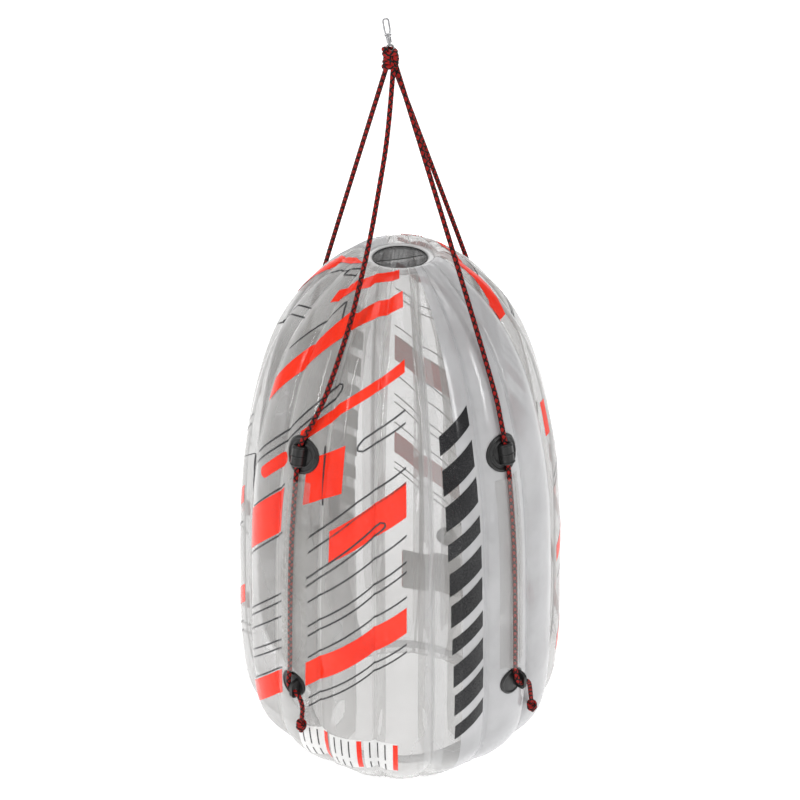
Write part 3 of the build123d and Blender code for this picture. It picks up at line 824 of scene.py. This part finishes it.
def stroke(ink, path, width, rounded=False, lift=ink_lift):
    """Lays a stroke of a width in metres along (azimuth, height) points, on both sides.

    A steep stroke is widened sideways, and any other one upward, so its ends stay upright.
    """
    p = np.array([(az, float(along_at(h))) for az, h in path])
    radius = np.interp(p[:, 1], outline_arc, outline[:, 0])
    steps = np.hypot(np.radians(np.diff(p[:, 0])) * (radius[1:] + radius[:-1]) / 2, np.diff(p[:, 1]))
    walked = np.concatenate([[0], np.cumsum(steps)])
    count = max(3, int(walked[-1] / stroke_step))
    at = np.linspace(0, walked[-1], count)
    if rounded:
        bow = np.array([0, 0.08, 0.3, 0.65, 1.0]) * width / 2
        at = np.unique(np.concatenate([bow, at[(at > width / 2) & (at < walked[-1] - width / 2)],
                                       walked[-1] - bow]))
    azimuth = np.interp(at, walked, p[:, 0])
    along = np.interp(at, walked, p[:, 1])
    here = np.interp(along, outline_arc, outline[:, 0])
    ahead = np.stack([np.radians(np.gradient(azimuth, at)) * here, np.gradient(along, at)], -1)
    ahead /= np.linalg.norm(ahead, axis=1)[:, None]
    half = np.full(len(at), width / 2)
    if rounded:
        end = np.clip(np.minimum(at, walked[-1] - at) / (width / 2), 0.02, 1)
        half *= np.sqrt(1 - (1 - end) ** 2)
    across = np.linspace(-1, 1, max(3, int(width / 0.004) + 2))
    side = half[:, None] * across
    steep = np.median(np.abs(ahead[:, 0])) < 0.5
    if rounded:
        az = azimuth[:, None] - np.degrees(ahead[:, 1:] * side / here[:, None])
        line = along[:, None] + ahead[:, :1] * side
    elif steep:
        az = azimuth[:, None] + np.degrees(side / here[:, None])
        line = np.repeat(along[:, None], len(across), axis=1)
    else:
        az = np.repeat(azimuth[:, None], len(across), axis=1)
        line = along[:, None] + side / np.maximum(np.abs(ahead[:, :1]), 0.25)
    for turn in (0, 180):
        inks[ink].append(film_point(az + turn, line, lift))


# %% Orange bars
bars = [
    ([(-54, 1412), (-42, 1440), (-26, 1460), (-2, 1470)], 26),
    ([(-66, 1166), (-50, 1288), (-33, 1380), (-16, 1412), (1, 1431)], 38),
    ([(-42, 1105), (-26, 1202), (-12, 1262), (1, 1308)], 24),
    ([(-109, 1335), (-95, 1452), (-63, 1474)], 38),
    ([(-66, 768), (-47, 898)], 92),
    ([(-26, 846), (-14, 915), (1, 1000)], 72),
    ([(-66, 232), (-46, 372)], 58),
    ([(-35, 436), (-14, 568), (1, 664)], 58),
    ([(-106, 1008), (-105, 1101)], 24),
    ([(-106, 640), (-90, 740), (-76, 832)], 40),
    ([(-104, 330), (-88, 430), (-74, 525)], 44),
]
gathered_above = 1400  # millimetres; the film is gathered here, so the ink lies a little further out
for path, width in bars:
    lift = gather_lift if path[-1][1] > gathered_above else ink_lift
    stroke("orange", [(az, h / 1000) for az, h in path], width / 1000, lift=lift)
stroke("orange", [(-60, 0.955), (-48, 1.043)], 0.030, rounded=True)
stroke("orange", [(-37, 1.000), (-22, 1.060)], 0.105)
print("orange strokes", len(inks["orange"]))

# %% Thin dark lines
line_width = 0.0046
long_lines = [
    [(-34, 857), (-16, 985), (1, 1079)],
    [(-34, 813), (-16, 945), (1, 1042)],
    [(-34, 665), (-16, 790), (1, 905)],
    [(-34, 591), (-16, 715), (1, 834)],
    [(-34, 561), (-16, 685), (1, 806)],
    [(-34, 493), (-16, 620), (1, 733)],
    [(-34, 362), (-16, 480), (1, 592)],
    [(-34, 335), (-16, 455), (1, 569)],
    [(-66, 690), (-46, 836)],
    [(-65, 522), (-46, 653)],
    [(-65, 498), (-46, 629)],
    [(-65, 454), (-46, 581)],
    [(-64, 390), (-46, 507)],
    [(-64, 363), (-46, 481)],
    [(-63, 300), (-46, 417)],
    [(-64, 845), (-47, 969)],
    [(-64, 1277), (-52, 1356), (-41, 1414), (-37, 1372)],
    [(-92, 1285), (-80, 1352), (-70, 1368)],
    [(-96, 1262), (-82, 1325), (-70, 1345)],
    [(-90, 1410), (-74, 1448), (-62, 1456)],
    [(-81, 922), (-71, 973), (-70, 860)],
    [(-106, 880), (-90, 985), (-78, 1060)],
    [(-106, 852), (-90, 957), (-78, 1032)],
    [(-105, 560), (-90, 655), (-76, 745)],
    [(-105, 235), (-90, 330), (-76, 420)],
    [(-105, 205), (-90, 300), (-76, 390)],
    [(-31, 1103), (-30, 950)],
]
for path in long_lines:
    stroke("line", [(az, h / 1000) for az, h in path], line_width)


def outlined_bar(first, last, gap, closed_low=True, closed_high=True):
    """A long bar drawn as two lines with a rounded end, from (azimuth, height) to another."""
    (az0, z0), (az1, z1) = first, last
    stroke("line", [(az0, z0 + gap / 2), (az1, z1 + gap / 2)], line_width, lift=outline_lift)
    stroke("line", [(az0, z0 - gap / 2), (az1, z1 - gap / 2)], line_width, lift=outline_lift)
    for (az, z), closed, away in [(first, closed_low, -1), (last, closed_high, 1)]:
        if closed:
            reach = away * 0.55 * gap / 0.0078
            bend = [(az, z + gap / 2), (az + reach, z + gap / 5 + away * gap / 3),
                    (az + reach, z - gap / 5 + away * gap / 3), (az, z - gap / 2)]
            stroke("line", bend, line_width, rounded=True, lift=outline_lift)


outlined_bar((-34.5, 0.724), (-8, 0.922), 0.024, closed_low=False)
outlined_bar((-15, 1.127), (1, 1.200), 0.030, closed_high=False)
outlined_bar((-65, 0.985), (-47, 1.112), 0.030, closed_low=False, closed_high=False)
outlined_bar((-47, 1.112), (-29, 1.240), 0.030, closed_low=False)
outlined_bar((-62, 1.453), (-50, 1.462), 0.012, closed_high=False)
print("dark lines", len(inks["line"]))

# %% Bold bars and label patches
bold_bars = 10
for i in range(bold_bars):
    low = 0.285 + 0.093 * i
    left, right = 17.6 - 0.42 * i, 28.6 - 0.16 * i
    stroke("black", [(left, low), (right, low + 0.060)], 0.056 if i % 3 else 0.040)
for i in range(3):
    left = -39 + 12.6 * i
    stroke("label", [(left, 0.198), (left + 11.6, 0.204)], 0.128)
    stroke("orange", [(left + 11.0, 0.150), (left + 11.0, 0.262)], 0.013, lift=label_lift)
    for column in range(3):
        place = left + 2.0 + 2.7 * column
        for band, reach in [(0.226, 0.062), (0.160, 0.036)]:
            stroke("line", [(place, band - reach / 2), (place, band + reach / 2)], 0.0035, lift=label_lift)
for ink, patches in inks.items():
    verts, faces = [], []
    for grid in patches:
        rows, columns = grid.shape[:2]
        start = len(verts)
        verts += [tuple(v) for v in grid.reshape(-1, 3)]
        for i in range(rows - 1):
            for j in range(columns - 1):
                k = start + i * columns + j
                faces.append((k, k + 1, k + columns + 1, k + columns))
    piece = mesh_piece(f"print_{ink}", verts, faces)
    on_tube(piece, "printed_film")
    film_pieces[f"print_{ink}"] = piece
print("ink patches", {ink: len(patches) for ink, patches in inks.items()})

# %% [markdown]
# ## Pads
# The moulded rubber pads are rigid enough to keep the frame's own shape. Each gets what a mould
# leaves: a raised round rim near the edge, and ribs across the hood that the rope runs under.

# %% Rims and ribs
upper_pad_height, lower_pad_height = 1.066, 0.392
rim_width, rim_height = 0.0034, 0.0021


def pad_rim(name, azimuth, height, radius):
    """A raised ring that follows the lobe, a little inside the edge of a pad."""
    turn = np.linspace(0, 2 * np.pi, 73)[:-1]
    bow = [(-1.0, 0.0), (-0.75, 0.6), (-0.3, 0.95), (0.3, 0.95), (0.75, 0.6), (1.0, 0.0)]
    middle = along_at(height)
    r0 = float(np.interp(middle, outline_arc, outline[:, 0]))
    rings = []
    for side, rise in bow:
        reach = radius + side * rim_width
        az = azimuth + np.degrees(reach * np.cos(turn) / r0)
        along = middle + reach * np.sin(turn)
        rings.append(film_point(az, along, 0.0036 + rise * rim_height, rippled=0.0))
    piece = grid_piece(name, np.array(rings), wrap=True)
    on_tube(piece, "pad_rubber")
    return piece


rims = []
for name, azimuth in pad_azimuths.items():
    rims.append(pad_rim(f"upper_rim_{name}", azimuth, upper_pad_height, 0.0435))
    rims.append(pad_rim(f"upper_inner_rim_{name}", azimuth, upper_pad_height, 0.0315))
    rims.append(pad_rim(f"lower_rim_{name}", azimuth, lower_pad_height, 0.0340))
print("pad rims", len(rims))


def film_frame(azimuth, height):
    """A place on the crest of a lobe, with its directions right, up the lobe and outward."""
    along = float(along_at(height))
    place = Vector(film_point(azimuth, along, rippled=0.0))
    up = (Vector(film_point(azimuth, along + 0.002, rippled=0.0)) - place).normalized()
    right = around(azimuth, 0, 0, 1).normalized()
    return place, right, up, right.cross(up)


ribs = []
for name, azimuth in pad_azimuths.items():
    place, right, up, out = film_frame(azimuth, upper_pad_height)
    for step in (-0.0215, 0.0, 0.0215):
        line = []
        for a in np.linspace(math.radians(-8), math.radians(188), 26):
            line.append(place + up * step + out * 0.0122 + (right * math.cos(a) + out * math.sin(a)) * 0.0172)
        rib = round_tube(f"hood_rib_{name}_{len(ribs) % 3 + 1}", line, 0.0016, sectors=8)
        on_tube(rib, "pad_rubber")
        ribs.append(rib)
print("hood ribs", len(ribs))

# %% [markdown]
# ## Grab handles
# Two handles hang inside the tunnel. Each is a band of woven webbing that is welded to the wall at
# both ends and passes through a foam grip. Webbing is flat with a ribbed face, so its cross-section
# is drawn with small waves and swept along the band's path. The grip is a short lathe shape.

# %% Handle places
handle_height, handle_reach, handle_span = 0.765, 0.062, 0.190
webbing_width, webbing_thick = 0.024, 0.0024


def handle_place(azimuth):
    """The foot of a handle on the tunnel wall, and its directions up, inward and sideways."""
    foot = around(azimuth, 0.245, handle_height)
    inward = around(azimuth, -1, 0)
    up = Vector((0, 0, 1))
    return foot, up, inward, up.cross(inward)


def banded(points, radius):
    """A line with its corners rounded, as a quadratic bend at each corner."""
    out = [Vector(points[0])]
    for before, here, after in zip(points, points[1:], points[2:]):
        b, h, a = Vector(before), Vector(here), Vector(after)
        first = h + (b - h).normalized() * radius
        last = h + (a - h).normalized() * radius
        for t in np.linspace(0, 1, 9):
            out.append(first * (1 - t) ** 2 + h * 2 * t * (1 - t) + last * t * t)
    return out + [Vector(points[-1])]


half_span = handle_span / 2
seat_lift = 0.0026
band_path = banded(
    [
        (-half_span - 0.030, seat_lift),
        (-half_span + 0.004, seat_lift),
        (-0.36 * handle_span, handle_reach),
        (0.36 * handle_span, handle_reach),
        (half_span - 0.004, seat_lift),
        (half_span + 0.030, seat_lift),
    ],
    0.012,
)
for side, azimuth in [("right", 80.0), ("left", -80.0)]:
    foot, up, inward, sideways = handle_place(azimuth)
    path = np.array([foot + up * u + inward * (n + webbing_thick / 2) for u, n in band_path])
    line, _ = evenly(path, 0.003)
    tangent = np.gradient(line, axis=0)
    tangent /= np.linalg.norm(tangent, axis=1)[:, None]
    across = np.array(sideways)
    normal = np.cross(across, tangent)
    w = np.linspace(-1, 1, 25)
    ridge = 0.00022 * np.cos(w * 30)
    section = [(x * webbing_width / 2, webbing_thick / 2 * (1 - x**8) + r) for x, r in zip(w, ridge)]
    section += [(x, -y) for x, y in section[::-1]]
    rows = [[p + across * x + n * y for x, y in section] for p, n in zip(line, normal)]
    band = grid_piece(f"handle_band_{side}", np.array(rows), wrap=True)
    on_tube(band, "webbing", f"handle_webbing_{side}")
    rows = []
    turn = np.linspace(0, 2 * np.pi, 40, endpoint=False)
    for u in np.linspace(-1, 1, 60):
        radius = 0.0148 * (1 - 0.10 * abs(u) ** 6) + 0.0005 * math.cos(u * 56)
        if abs(u) > 0.995:
            radius = 0.0118
        centre = foot + up * (u * 0.056) + inward * (handle_reach + webbing_thick / 2)
        rows.append([centre + inward * radius * math.cos(a) + sideways * radius * math.sin(a) for a in turn])
    ends = [[sum((Vector(p) for p in rows[k]), Vector()) / len(turn)] * len(turn) for k in (0, -1)]
    grip = grid_piece(f"handle_grip_foam_{side}", np.array([ends[0], *rows, ends[1]]), wrap=True)
    on_tube(grip, "grip_foam", f"handle_grip_{side}")
    film_pieces[f"band_{side}"] = band
    film_pieces[f"grip_{side}"] = grip
print("handles", 2)

# %% [markdown]
# ## Finishes
# Each finish is a Principled shader with a few procedural nodes: a slow noise that varies the
# colour, a finer one that varies the gloss, and a bump for grain. Film is thin, so its see-through
# look comes from alpha. Film shows more of itself where it is seen edge-on, which Layer Weight
# gives.


# %% Small helpers for nodes
class Finish:
    """A material with a Principled shader, and a short way to add and join nodes."""

    def __init__(self, name, colour, roughness, **values):
        self.material = bpy.data.materials.new(name)
        self.material.use_nodes = True
        self.tree = self.material.node_tree
        self.shader = self.tree.nodes["Principled BSDF"]
        self.shader.inputs["Base Color"].default_value = (*colour, 1.0)
        self.shader.inputs["Roughness"].default_value = roughness
        for label, value in values.items():
            self.shader.inputs[label.replace("_", " ")].default_value = value

    def node(self, kind, **settings):
        made = self.tree.nodes.new(kind)
        for key, value in settings.items():
            if key.startswith("in_"):
                made.inputs[int(key[3:])].default_value = value
            else:
                setattr(made, key, value)
        return made

    def join(self, out, into):
        self.tree.links.new(out, into)

    def noise(self, scale, detail=4.0, stretch=None):
        coordinates = self.node("ShaderNodeTexCoord").outputs["Object"]
        if stretch:
            mapping = self.node("ShaderNodeMapping")
            mapping.inputs["Scale"].default_value = stretch
            self.join(coordinates, mapping.inputs["Vector"])
            coordinates = mapping.outputs["Vector"]
        noise = self.node("ShaderNodeTexNoise")
        noise.inputs["Scale"].default_value = scale
        noise.inputs["Detail"].default_value = detail
        self.join(coordinates, noise.inputs["Vector"])
        return noise.outputs["Fac"]

    def ramp(self, factor, low, high, start=0.3, end=0.7):
        ramp = self.node("ShaderNodeValToRGB")
        ramp.color_ramp.elements[0].position = start
        ramp.color_ramp.elements[1].position = end
        ramp.color_ramp.elements[0].color = (*low, 1.0)
        ramp.color_ramp.elements[1].color = (*high, 1.0)
        self.join(factor, ramp.inputs["Fac"])
        return ramp.outputs["Color"]

    def span(self, factor, low, high, start=0.0, end=1.0):
        span = self.node("ShaderNodeMapRange")
        for label, value in [("From Min", start), ("From Max", end), ("To Min", low), ("To Max", high)]:
            span.inputs[label].default_value = value
        self.join(factor, span.inputs["Value"])
        return span.outputs["Result"]

    def math(self, operation, first, second=0.0):
        made = self.node("ShaderNodeMath", operation=operation)
        for slot, value in ((0, first), (1, second)):
            if isinstance(value, (int, float)):
                made.inputs[slot].default_value = value
            else:
                self.join(value, made.inputs[slot])
        return made.outputs[0]

    def mix(self, factor, first, second):
        made = self.node("ShaderNodeMix", data_type="RGBA")
        self.join(factor, made.inputs[0])
        for socket, value in ((made.inputs[6], first), (made.inputs[7], second)):
            if isinstance(value, tuple):
                socket.default_value = (*value, 1.0)
            else:
                self.join(value, socket)
        return made.outputs[2]

    def set(self, label, output):
        self.join(output, self.shader.inputs[label])
        return self

    def bump(self, height, distance, strength=1.0):
        bump = self.node("ShaderNodeBump")
        bump.inputs["Strength"].default_value = strength
        bump.inputs["Distance"].default_value = distance
        self.join(height, bump.inputs["Height"])
        return self.set("Normal", bump.outputs["Normal"])


def film_finish(name, low, high, alpha, edge_alpha, roughness, seam=0.0):
    """Film: a see-through sheet that turns milky edge-on and beside its seams."""
    f = Finish(name, high, roughness, IOR=1.5)
    f.set("Base Color", f.ramp(f.noise(3.2, 3.0), low, high))
    f.set("Roughness", f.span(f.noise(14.0, 4.0), 0.7 * roughness, 1.5 * roughness, 0.3, 0.7))
    weight = f.node("ShaderNodeLayerWeight")
    weight.inputs["Blend"].default_value = 0.35
    shown = f.span(weight.outputs["Facing"], alpha, edge_alpha, 0.1, 0.95)
    cloud = f.span(f.noise(6.0, 5.0), 0.85, 1.18, 0.3, 0.7)
    shown = f.math("MULTIPLY", shown, cloud)
    if seam:
        uv = f.node("ShaderNodeUVMap", uv_map="film")
        parts = f.node("ShaderNodeSeparateXYZ")
        f.join(uv.outputs["UV"], parts.inputs[0])
        across = f.math("FRACT", f.math("ADD", parts.outputs["X"], 1000.5))
        from_seam = f.math("MINIMUM", across, f.math("SUBTRACT", 1.0, across))
        weld = f.span(from_seam, seam, 0.0, 0.012, 0.05)
        weld.node.interpolation_type = "SMOOTHSTEP"
        shown = f.math("ADD", shown, weld)
    f.set("Alpha", f.math("MINIMUM", shown, 0.97))
    return f.bump(f.noise(55.0, 3.0), 0.0006, 0.35)


# %% Film finishes
clear_film = film_finish("clear_film", (0.46, 0.45, 0.44), (0.60, 0.60, 0.59), 0.27, 0.85, 0.05, 0.42)
inner_film = film_finish("inner_film", (0.40, 0.39, 0.37), (0.52, 0.51, 0.49), 0.20, 0.66, 0.10)
frosted_film = film_finish("frosted_film", (0.44, 0.44, 0.45), (0.54, 0.54, 0.55), 0.80, 0.96,
                           0.14, 0.12)
welded_film = film_finish("welded_film", (0.48, 0.48, 0.48), (0.60, 0.60, 0.60), 0.55, 0.9, 0.12)
band_film = film_finish("band_film", (0.56, 0.56, 0.56), (0.70, 0.70, 0.70), 0.26, 0.7, 0.08)
print("film finishes", 5)


# %% Ink finishes
def ink_finish(name, low, high, alpha):
    f = Finish(name, high, 0.16, IOR=1.5, Specular_IOR_Level=0.25)
    f.set("Base Color", f.ramp(f.noise(5.0, 5.0), low, high))
    f.set("Roughness", f.span(f.noise(30.0, 3.0), 0.12, 0.26, 0.3, 0.7))
    f.set("Alpha", f.span(f.noise(260.0, 2.0), alpha - 0.04, min(1.0, alpha + 0.04), 0.35, 0.65))
    return f.bump(f.noise(60.0, 3.0), 0.0005, 0.3)


print_finishes = {
    "orange": ink_finish("orange_ink", (0.86, 0.018, 0.003), (0.97, 0.034, 0.006), 0.96),
    "line": ink_finish("dark_ink", (0.030, 0.030, 0.032), (0.060, 0.060, 0.064), 0.92),
    "black": ink_finish("black_ink", (0.008, 0.008, 0.009), (0.022, 0.022, 0.024), 0.97),
    "label": ink_finish("label_white", (0.72, 0.72, 0.71), (0.84, 0.84, 0.83), 0.95),
}
print("inks", sorted(print_finishes))


# %% Rope finish
def rope_finish():
    """Black braid with long red flecks along one set of plaits, fine yarn across each plait, and painted
    shade in the grooves between yarns.
    """
    f = Finish("braided_rope", (0.012, 0.011, 0.011), 0.55)
    uv = f.node("ShaderNodeUVMap", uv_map="plaits")
    parts = f.node("ShaderNodeSeparateXYZ")
    f.join(uv.outputs["UV"], parts.inputs[0])
    forward = f.math("ADD", parts.outputs["X"], parts.outputs["Y"])
    backward = f.math("SUBTRACT", parts.outputs["X"], parts.outputs["Y"])
    number_a, number_b = f.math("FLOOR", forward), f.math("FLOOR", backward)
    red_share = f.math("FRACT", f.math("ADD", f.math("DIVIDE", number_a, 3.0), 1000.1))
    crossing = f.math("FRACT", f.math("ADD", f.math("DIVIDE", number_b, 3.0), 1000.1))
    is_red = f.math("LESS_THAN", red_share, 0.5)
    uncrossed = f.math("GREATER_THAN", crossing, 0.3)
    red = f.math("MULTIPLY", is_red, uncrossed)
    lay = f.math("SINE",
                 f.math("MULTIPLY", f.math("SUBTRACT", forward, f.math("MULTIPLY", backward, 0.35)), 26.0))
    # Painted shade: each yarn keeps its own black or red, painted darker where the lay's bump sinks into
    # grooves and lighter on its ridges.
    black_yarn_with_groove_shade = f.ramp(f.span(lay, 0.0, 1.0, -1.0, 1.0), (0.003, 0.003, 0.003),
                        (0.014, 0.013, 0.013), 0.2, 0.9)
    red_yarn_with_groove_shade = f.ramp(f.span(lay, 0.0, 1.0, -1.0, 1.0), (0.22, 0.004, 0.003),
                       (0.52, 0.014, 0.010), 0.2, 0.9)
    f.set("Base Color", f.mix(red, black_yarn_with_groove_shade, red_yarn_with_groove_shade))
    f.set("Roughness", f.span(f.noise(300.0, 3.0), 0.45, 0.8, 0.3, 0.7))
    f.shader.inputs["Specular IOR Level"].default_value = 0.2
    f.bump(lay, 0.00025, 0.8)
    return f


braid = rope_finish()
print("rope finish", len(braid.tree.nodes), "nodes")


# %% Solid finishes
def solid_finish(name, low, high, roughness, scale, bump, metallic=0.0, stretch=None, grain=400.0):
    f = Finish(name, high, roughness, Metallic=metallic)
    f.set("Base Color", f.ramp(f.noise(scale, 5.0), low, high))
    f.set("Roughness", f.span(f.noise(3 * scale, 5.0, stretch), 0.75 * roughness, 1.3 * roughness, 0.3, 0.7))
    return f.bump(f.noise(grain, 4.0, stretch), bump, 0.5)


pad_rubber = solid_finish("moulded_rubber", (0.003, 0.003, 0.003), (0.011, 0.011, 0.011), 0.36, 40,
                          0.0004)
steel = solid_finish("polished_steel", (0.30, 0.30, 0.31), (0.46, 0.46, 0.47), 0.20, 60, 0.00008,
                     1.0, (1, 1, 14))
valve_plastic = solid_finish("valve_plastic", (0.020, 0.020, 0.022), (0.045, 0.045, 0.048), 0.42,
                             50, 0.0003)
grip_foam = solid_finish("grip_foam", (0.016, 0.016, 0.017), (0.040, 0.040, 0.042), 0.85, 80,
                         0.0010, grain=900.0)
cord_rubber = solid_finish("edge_cord_rubber", (0.008, 0.008, 0.008), (0.020, 0.020, 0.020), 0.5,
                           90, 0.0003)
net_yarn = solid_finish("net_yarn", (0.030, 0.030, 0.031), (0.085, 0.085, 0.088), 0.6, 160, 0.0002,
                        grain=1500.0)
webbing_yarn = solid_finish("webbing_yarn", (0.010, 0.010, 0.011), (0.034, 0.034, 0.036), 0.7, 220, 0.0004,
                            stretch=(1, 1, 6))
print("solid finishes", 7)


# %% Floor finish
floor_finish = Finish("pale_floor", (0.93, 0.93, 0.93), 0.7)
floor_tone = floor_finish.ramp(floor_finish.noise(1.4), (0.90, 0.90, 0.90), (0.95, 0.95, 0.95))
floor_finish.set("Base Color", floor_tone)
floor_finish.shader.inputs["Emission Color"].default_value = (1.0, 1.0, 1.0, 1.0)
floor_finish.shader.inputs["Emission Strength"].default_value = 0.56
floor.data.materials.append(floor_finish.material)
print("floor finish", floor_finish.material.name)


# %% Give every piece its finish
def finish_piece(piece, finish):
    piece.data.materials.clear()
    piece.data.materials.append(finish.material)


for name, piece in film_pieces.items():
    if name.startswith("film_clear"):
        finish_piece(piece, clear_film)
    elif name.startswith("film_frosted"):
        finish_piece(piece, frosted_film)
    elif name.startswith("weld_band"):
        finish_piece(piece, band_film)
    elif name.startswith("print_"):
        finish_piece(piece, print_finishes[name[6:]])
    elif name.startswith("band_"):
        finish_piece(piece, webbing_yarn)
    elif name.startswith("grip_"):
        finish_piece(piece, grip_foam)
    else:
        finish_piece(piece, inner_film)
for piece in [hem, collar]:
    finish_piece(piece, welded_film)
for piece in list(ropes.values()) + knot_pieces + [part for pair in stoppers.values() for part in pair]:
    finish_piece(piece, braid)
for piece in rims + ribs:
    finish_piece(piece, pad_rubber)
finish_piece(net, net_yarn)
finish_piece(fold_seam, cord_rubber)
cad_finishes = {
    "pad_rubber": pad_rubber,
    "stainless": steel,
    "valve_pin": steel,
    "valve_plastic": valve_plastic,
    "edge_cord": cord_rubber,
}
slots = {part["node"]: part["material_slot"] for part in frame["record"]["subparts"]}
kept = []
for node, piece in frame["nodes"].items():
    if not piece.hide_render:
        finish = cad_finishes[slots[node]]
        for slot in piece.material_slots:
            slot.material = finish.material
        kept.append(node)
print("frame nodes kept", len(kept))
